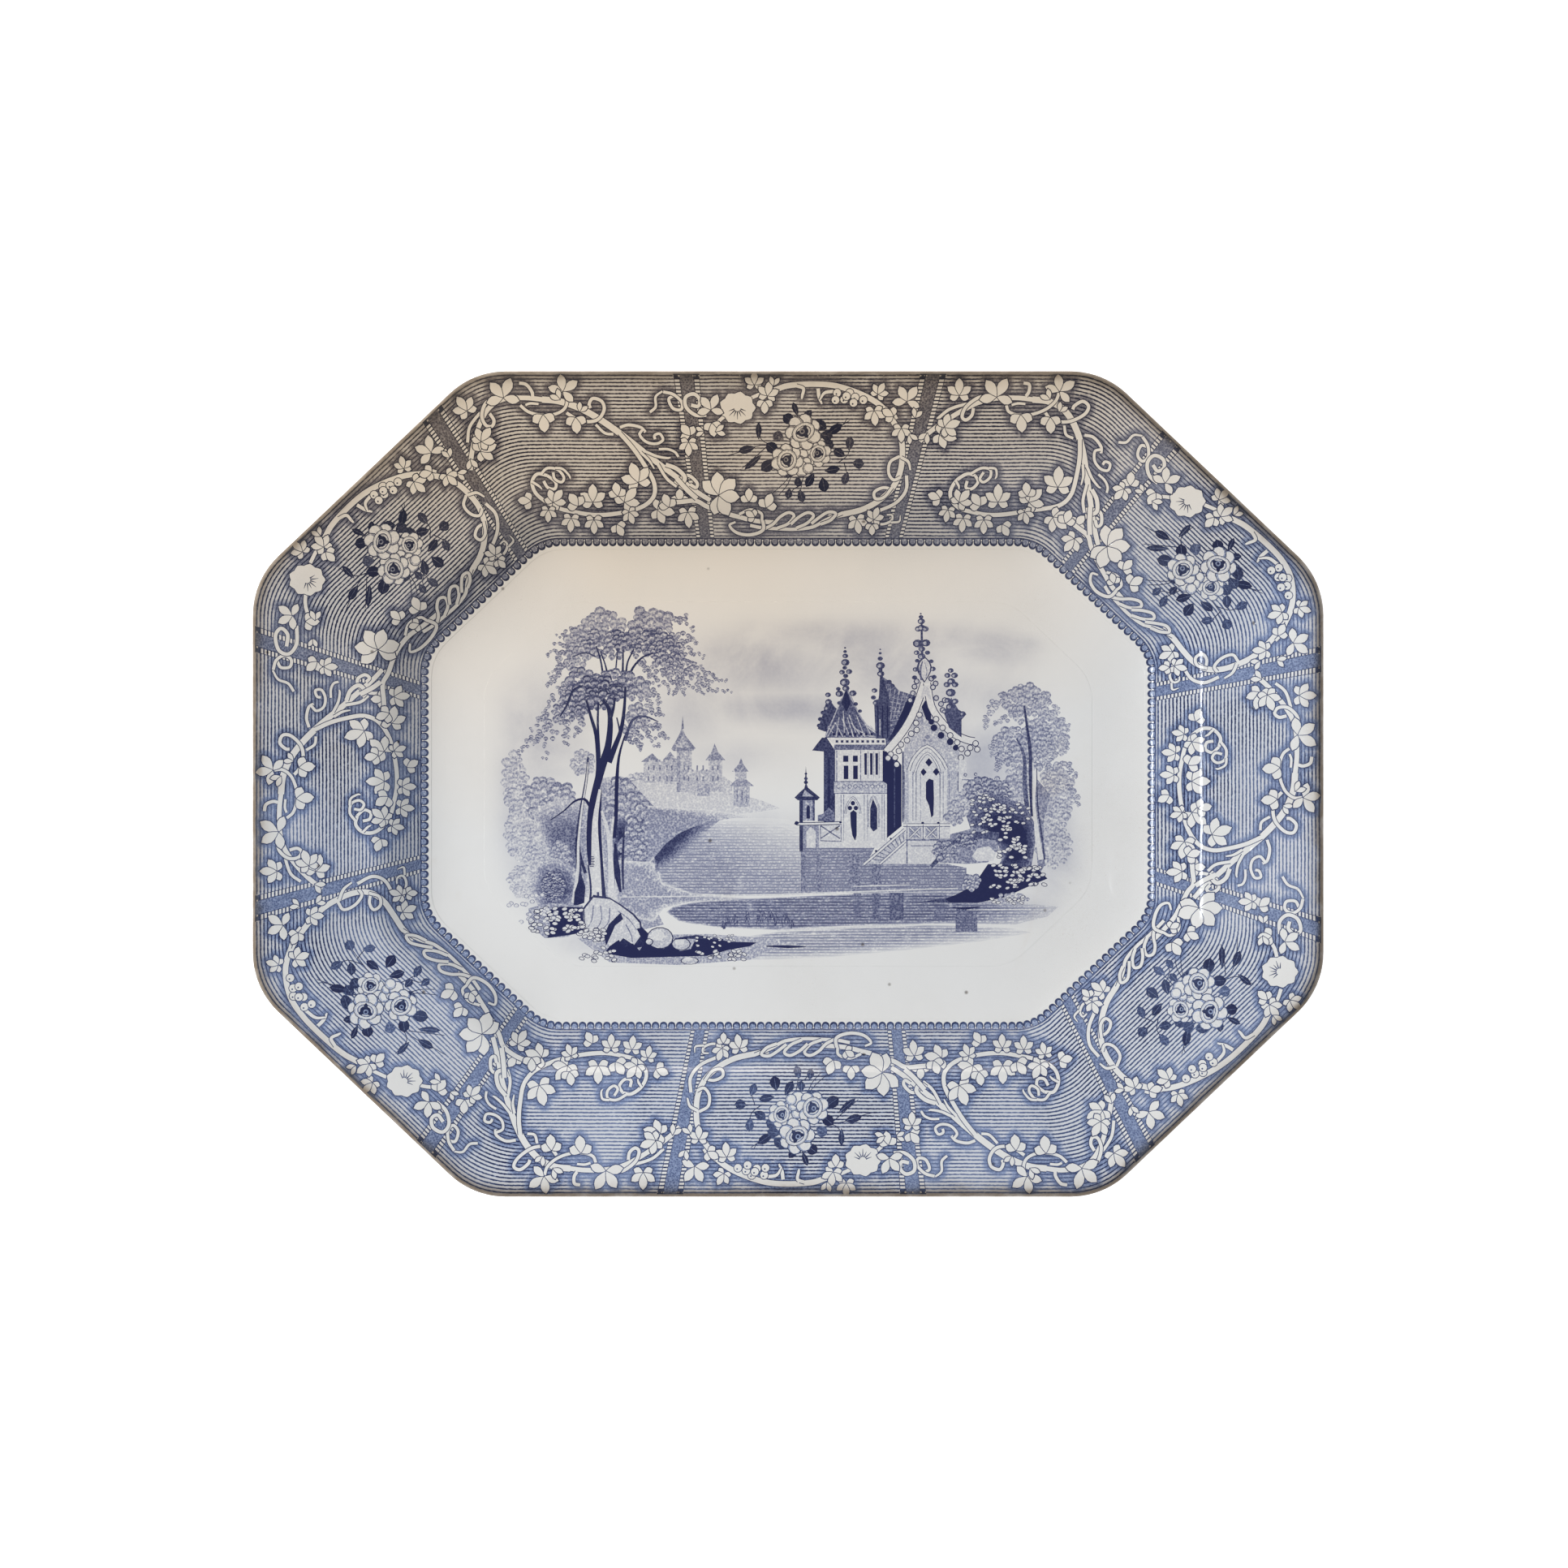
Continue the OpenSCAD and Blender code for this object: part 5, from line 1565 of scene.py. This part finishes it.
def glazeGroup():
    # fired glaze over cream clay: warm to cool across the platter, the warmth being painted warm light on the far
    # side; stained, specked and crazed
    tree, w, start, end = newGroup("glazeWearAndWarmLight", [("Place", "vector", None), ("Depth", "value", 70.0),
                                                 ("Age", "value", 1.0)],
                                   [("Colour", "colour"), ("Height", "value"), ("Roughness", "value"),
                                    ("Coolness", "value")])
    place, depth, age = start["Place"], start["Depth"], start["Age"]
    split = w.add("SeparateXYZ", {0: place})
    x, y = split.outputs["X"], split.outputs["Y"]
    # Coolness: 0 where warm light is painted into the glaze, in the middle of the far side, 1 at the near side
    across = w.plus(w.times(w.times(x, x), 1.4), w.times(x, 0.22))
    tilt = w.minus(across, y)
    drift = w.times(w.minus(w.noise(place, 9, 2).outputs[0], 0.5), 0.05)
    cool = w.span(w.plus(tilt, drift), -0.12, 0.01, 0, 1, False)
    colour = w.mix(cool, colour4(finish["warmLitGlaze"]), colour4(finish["glazeColour"]))
    cloud = w.span(w.noise(place, 26, 4, 0.6).outputs[0], 0.35, 0.7)
    colour = w.mix(w.times(cloud, 0.10), colour, (0.62, 0.60, 0.56, 1))
    # warm stain patches where the glaze was worn through
    patch = w.span(w.noise(place, 17, 5, 0.65, 0.4).outputs[0], 0.62, 0.78)
    colour = w.mix(w.times(w.times(patch, age), 0.22), colour, (0.60, 0.47, 0.33, 1))
    # crazing: fine cracks, a few of them brown
    bent = w.add("VectorMath", {0: place, 1: w.noise(place, 60, 2).outputs["Color"]},
                 operation='MULTIPLY_ADD')
    w.set(bent, {0: w.noise(place, 60, 2).outputs["Color"], 1: (0.004, 0.004, 0.004), 2: place})
    crack = w.cells(bent.outputs[0], 75, 'DISTANCE_TO_EDGE').outputs["Distance"]
    crack = w.span(crack, 0.0, 0.028, 1, 0)
    crackZone = w.span(w.noise(place, 12, 3).outputs[0], 0.45, 0.72)
    crackShare = w.times(w.times(crack, crackZone), age)
    colour = w.mix(w.times(crackShare, 0.22), colour, colour4(finish["stainColour"]))
    # kiln specks, pinholes and small brown spots
    speckCell = w.cells(place, 105)
    speckPick = w.span(w.add("SeparateColor", {0: speckCell.outputs["Color"]}).outputs[0], 0.86, 0.9)
    speckSize = w.span(speckCell.outputs["Distance"], 0.03, 0.11, 1, 0)
    speck = w.times(w.times(speckPick, speckSize), age)
    colour = w.mix(w.times(speck, 0.75), colour, (0.09, 0.06, 0.045, 1))
    blotCell = w.cells(place, 26)
    blotPick = w.span(w.add("SeparateColor", {0: blotCell.outputs["Color"]}).outputs[1], 0.82, 0.9)
    blot = w.times(blotPick, w.span(blotCell.outputs["Distance"], 0.0, 0.16, 1, 0))
    colour = w.mix(w.times(w.times(blot, age), 0.3), colour, (0.45, 0.30, 0.16, 1))
    # the glaze darkens to brown towards the rim's edge, and is rougher there
    edgeNoise = w.noise(place, 70, 4, 0.7).outputs[0]
    reach = w.plus(depth, w.times(w.minus(edgeNoise, 0.5), 6.0))
    edge = w.times(w.span(reach, 0.8, 4.4, 1, 0), w.span(edgeNoise, 0.25, 0.6, 0.6, 1))
    colour = w.mix(w.times(edge, age), colour, colour4(finish["edgeColour"]))
    soft = w.span(reach, 1.0, 9.0, 1, 0)
    colour = w.mix(w.times(w.times(soft, age), 0.42), colour, (0.36, 0.27, 0.18, 1))
    w.tree.links.new(colour, end["Colour"])
    wave = w.times(w.noise(place, 38, 2).outputs[0], 0.6)
    peel = w.times(w.noise(place, 420, 2).outputs[0], 0.16)
    # the outer rim's glaze is pitted, so that light on it breaks into sparks
    pitZone = w.times(w.span(reach, 1.5, 5.0), w.span(reach, 10.0, 16.0, 1, 0))
    pits = w.times(w.noise(place, 620, 3, 0.7).outputs[0], w.times(pitZone, 1.1))
    height = w.plus(w.plus(wave, peel), w.times(pits, age))
    height = w.minus(height, w.times(speck, 0.5))
    height = w.minus(height, w.times(crackShare, 0.12))
    w.tree.links.new(height, end["Height"])
    smear = w.span(w.noise(place, 30, 4, 0.6).outputs[0], 0.4, 0.75, 0.0, 0.12)
    rough = w.plus(w.plus(smear, finish["glossRoughness"]), w.times(edge, 0.45))
    w.tree.links.new(rough, end["Roughness"])
    w.tree.links.new(cool, end["Coolness"])
    return tree


def inkGroup():
    # the engraver's marks: solid lines, stipple and ruled ground lines, given as an amount of ink
    tree, w, start, end = newGroup("engravedInk", [("Place", "vector", None), ("Depth", "value", 70.0),
                                                   ("Tone", "value", 0.0), ("Lines", "value", 0.0),
                                                   ("Ripple", "value", 0.0), ("Halo", "value", 0.0),
                                                   ("Wash", "value", 0.0)],
                                   [("Ink", "value")])
    place, depth = start["Place"], start["Depth"]
    # ruled lines, wavering a little and broken along their length
    waver = w.times(w.minus(w.noise(place, 55, 2).outputs[0], 0.5), 0.5)
    phase = w.times(w.plus(depth, waver), 2 * math.pi / finish["linePitch"])
    wave = w.math('SINE', phase)
    breaks = w.minus(w.noise(place, 900, 2, 0.6).outputs[0], 0.5)
    ruled = w.span(w.plus(wave, w.times(breaks, 2.2)), -0.15, 0.75)
    fade = w.span(w.noise(place, 22, 3).outputs[0], 0.3, 0.7, 0.62, 0.92)
    ruled = w.times(w.times(ruled, fade), start["Lines"])
    under = w.times(start["Lines"], 0.10)
    ruled = w.math('MAXIMUM', ruled, under)
    # water is ruled straight across in short strokes
    row = w.times(w.add("SeparateXYZ", {0: place}).outputs["Y"], 2 * math.pi / finish["ripplePitch"] / mm)
    stretched = w.add("VectorMath", {0: place, 1: (260, 900, 1)}, operation='MULTIPLY').outputs[0]
    dashes = w.minus(w.noise(stretched, 1, 2, 0.6).outputs[0], 0.5)
    ripple = w.span(w.plus(w.math('SINE', row), w.times(dashes, 3.4)), -0.3, 0.9)
    ripple = w.times(ripple, start["Ripple"])
    # stipple: pale tones break into dots, dark ones run together
    dots = w.cells(place, 1500).outputs["Distance"]
    grain = w.times(w.minus(dots, 0.42), 0.55)
    mid = w.times(w.times(start["Tone"], w.minus(1.0, start["Tone"])), 4.0)
    toneInk = w.minus(start["Tone"], w.times(grain, mid))
    haloInk = w.times(w.times(start["Halo"], 0.62), start["Lines"])
    haloInk = w.minus(haloInk, w.times(grain, w.times(haloInk, 1.2)))
    cloud = w.span(w.noise(place, 42, 5, 0.58, 0.6).outputs[0], 0.3, 0.66, 0.45, 1.6)
    fine = w.times(w.noise(place, 900, 2).outputs[0], 0.5)
    washGrain = w.times(cloud, w.plus(0.75, fine))
    washInk = w.times(start["Wash"], washGrain)
    # the pressing was uneven: ink is thinner in patches
    press = w.span(w.noise(place, 45, 4, 0.6).outputs[0], 0.25, 0.65, 0.84, 1.0)
    ink = w.math('MAXIMUM', w.math('MAXIMUM', ruled, toneInk), w.math('MAXIMUM', haloInk, washInk))
    ink = w.math('MAXIMUM', ink, ripple)
    ink = w.times(ink, press, True)
    w.tree.links.new(ink, end["Ink"])
    return tree


def inkOnGlazeGroup():
    # ink laid on a glaze colour: cobalt where the print is cool, grey where warm light is painted on it
    tree, w, start, end = newGroup("inkOnGlaze", [("Colour", "colour", (0.8, 0.8, 0.8, 1)),
                                                  ("Ink", "value", 0.0),
                                                  ("Coolness", "value", 1.0), ("Violet", "value", 0.0)],
                                   [("Colour", "colour")])
    cobalt = w.ramp(start["Ink"],
                    [(0, (1, 1, 1)), (0.35, (0.36, 0.45, 0.70)), (0.68, (0.115, 0.16, 0.33)),
                     (0.92, (0.02, 0.028, 0.10))])
    grey = w.ramp(start["Ink"],
                  [(0, (1, 1, 1)), (0.35, (0.33, 0.315, 0.335)), (0.66, (0.090, 0.084, 0.112)),
                   (0.92, (0.013, 0.014, 0.042))])
    violet = w.ramp(start["Ink"],
                    [(0, (1, 1, 1)), (0.35, (0.40, 0.41, 0.54)), (0.62, (0.115, 0.125, 0.25)),
                     (0.86, (0.014, 0.018, 0.10))])
    tint = w.mix(start["Violet"], w.mix(start["Coolness"], grey, cobalt), violet)
    w.tree.links.new(w.mix(1.0, start["Colour"], tint, 'MULTIPLY'), end["Colour"])
    return tree


glazeWearAndWarmLight, engravedInk, inkOnGlaze = glazeGroup(), inkGroup(), inkOnGlazeGroup()


def glazedPaint(name, printed, violet=0.0, strength=1.0):
    paint = bpy.data.materials.new(name)
    paint.use_nodes = True
    w = Wiring(paint.node_tree)
    shader = paint.node_tree.nodes["Principled BSDF"]
    place = w.object()
    depth = w.attribute("depth").outputs["Fac"]
    # the glaze's colour holds its wear and the painted warm light on the far side
    wearAndWarmLight = useGroup(w, glazeWearAndWarmLight, {"Place": place, "Depth": depth, "Age": finish["age"]})
    colour = wearAndWarmLight["Colour"]
    if printed:
        ink = w.add("SeparateColor", {0: w.attribute("ink").outputs["Color"]})
        marks = useGroup(w, engravedInk, {"Place": place, "Depth": depth, "Tone": ink.outputs[0],
                                          "Lines": ink.outputs[1], "Ripple": ink.outputs[2],
                                          "Halo": w.attribute("halo").outputs["Fac"],
                                          "Wash": w.times(w.attribute("wash").outputs["Fac"],
                                                         w.attribute("ink").outputs["Alpha"])})
        amount = w.math('POWER', marks["Ink"], strength)
        colour = useGroup(w, inkOnGlaze, {"Colour": colour, "Ink": amount, "Coolness": wearAndWarmLight["Coolness"],
                                          "Violet": violet})["Colour"]
    bump = w.add("Bump", {"Height": wearAndWarmLight["Height"], "Strength": 0.35, "Distance": 0.0004})
    w.set(shader, {"Base Color": colour, "Roughness": wearAndWarmLight["Roughness"], "Normal": bump.outputs[0],
                   "IOR": 1.5})
    return paint


def bareClayPaint():
    # fired clay without glaze: a fine grain, iron specks and rubbed grey marks
    paint = bpy.data.materials.new("bareClay")
    paint.use_nodes = True
    w = Wiring(paint.node_tree)
    shader = paint.node_tree.nodes["Principled BSDF"]
    place = w.object()
    tone = w.span(w.noise(place, 30, 4, 0.6).outputs[0], 0.3, 0.7)
    colour = w.mix(tone, colour4(finish["clayColour"]), (0.72, 0.62, 0.47, 1))
    rub = w.span(w.noise(place, 14, 5, 0.7, 0.5).outputs[0], 0.52, 0.7)
    colour = w.mix(w.times(rub, 0.55), colour, (0.26, 0.21, 0.17, 1))
    iron = w.span(w.cells(place, 420).outputs["Distance"], 0.05, 0.16, 1, 0)
    colour = w.mix(w.times(iron, 0.5), colour, (0.2, 0.1, 0.05, 1))
    grain = w.plus(w.noise(place, 900, 4, 0.7).outputs[0], w.times(iron, -0.4))
    bump = w.add("Bump", {"Height": grain, "Strength": 0.5, "Distance": 0.0003})
    w.set(shader, {"Base Color": colour, "Roughness": w.span(tone, 0, 1, 0.7, 0.88),
                   "Normal": bump.outputs[0]})
    return paint


clayBody.data.materials.append(bareClayPaint())
faceGlaze.data.materials.append(glazedPaint("clearGlaze", False))
baseGlaze.data.materials.append(faceGlaze.data.materials[0])
borderPaint = glazedPaint("borderUnderGlaze", True, 0.0, finish["borderInkPower"])
scenePaint = glazedPaint("sceneUnderGlaze", True, finish["sceneViolet"], finish["sceneInkPower"])

rides = [(clayBody, "earthenware_body", "clay"), (faceGlaze, "face_glaze", "glaze"),
         (baseGlaze, "base_glaze", "glaze")]
for panel, piece in borderPieces.items():
    piece.data.materials.append(borderPaint)
    rides.append((piece, "border_print_" + borderNames[panel], "border_print"))
centrePiece.data.materials.append(scenePaint)
rides.append((centrePiece, "centre_print", "scene_print"))
for piece, node, slot in rides:
    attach(piece, "root")
    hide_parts(node)
print("finishes made")

# floor, light and camera

studio = {
    "floorSize": 6.0,
    "floorDrop": 0.0002,
    "floorGlow": 0.7,
    "roomLight": 0.35,
    # place, size, power and colour of each lamp
    "skyPanel": ((-1.4, 0.15, 2.0), (2.4, 2.4), 41, (1.0, 0.985, 0.965)),
    "windowLeft": ((-1.3, -0.03, 1.55), (0.16, 0.2), 4, (0.95, 0.98, 1.0)),
    "lampTop": ((-0.3, 1.9, 1.3), (1.2, 0.5), 7, (1.0, 0.92, 0.82)),
    "cameraLens": 200,
    "frameWidth": 0.575,      # of what the camera sees at the height of the rim
    "cameraShift": (0.0015, 0.0),
}


def softLight(name, place, size, power, colour):
    lamp = bpy.data.lights.new(name, 'AREA')
    lamp.shape = 'RECTANGLE'
    lamp.size, lamp.size_y = size
    lamp.energy = power
    lamp.color = colour
    holder = bpy.data.objects.new(name, lamp)
    bpy.context.collection.objects.link(holder)
    holder.location = place
    holder.rotation_euler = (Vector((0, 0, 0)) - Vector(place)).to_track_quat('-Z', 'Y').to_euler()
    return holder


bpy.ops.object.select_all(action='DESELECT')
bpy.ops.mesh.primitive_plane_add(size=studio["floorSize"], location=(0, 0, -studio["floorDrop"]))
floor = bpy.context.object
floor.name = "floor"
floorPaint = bpy.data.materials.new("floorPaint")
floorPaint.use_nodes = True
floorShader = floorPaint.node_tree.nodes["Principled BSDF"]
floorShader.inputs["Base Color"].default_value = (0.93, 0.93, 0.93, 1)
floorShader.inputs["Roughness"].default_value = 0.9
floorShader.inputs["Emission Color"].default_value = (1, 1, 1, 1)
floorShader.inputs["Emission Strength"].default_value = studio["floorGlow"]
floor.data.materials.append(floorPaint)

world = bpy.data.worlds.new("room")
world.use_nodes = True
sky = world.node_tree.nodes["Background"]
sky.inputs["Color"].default_value = (0.9, 0.95, 1.0, 1)
sky.inputs["Strength"].default_value = studio["roomLight"]
bpy.context.scene.world = world
bpy.context.scene.view_settings.view_transform = 'Standard'

# the big panel gives its light but isn't mirrored in the glaze
softLight("skyPanel", *studio["skyPanel"]).visible_glossy = False
softLight("windowLeft", *studio["windowLeft"])
softLight("lampTop", *studio["lampTop"])

camera = bpy.data.cameras.new("camera")
camera.lens = studio["cameraLens"]
camera.sensor_width = 36
cameraHolder = bpy.data.objects.new("camera", camera)
bpy.context.collection.objects.link(cameraHolder)
distance = studio["frameWidth"] * camera.lens / camera.sensor_width
cameraHolder.location = (-studio["cameraShift"][0], 0, distance + cadBox[1][2])
camera.clip_end = 20
bpy.context.scene.camera = cameraHolder
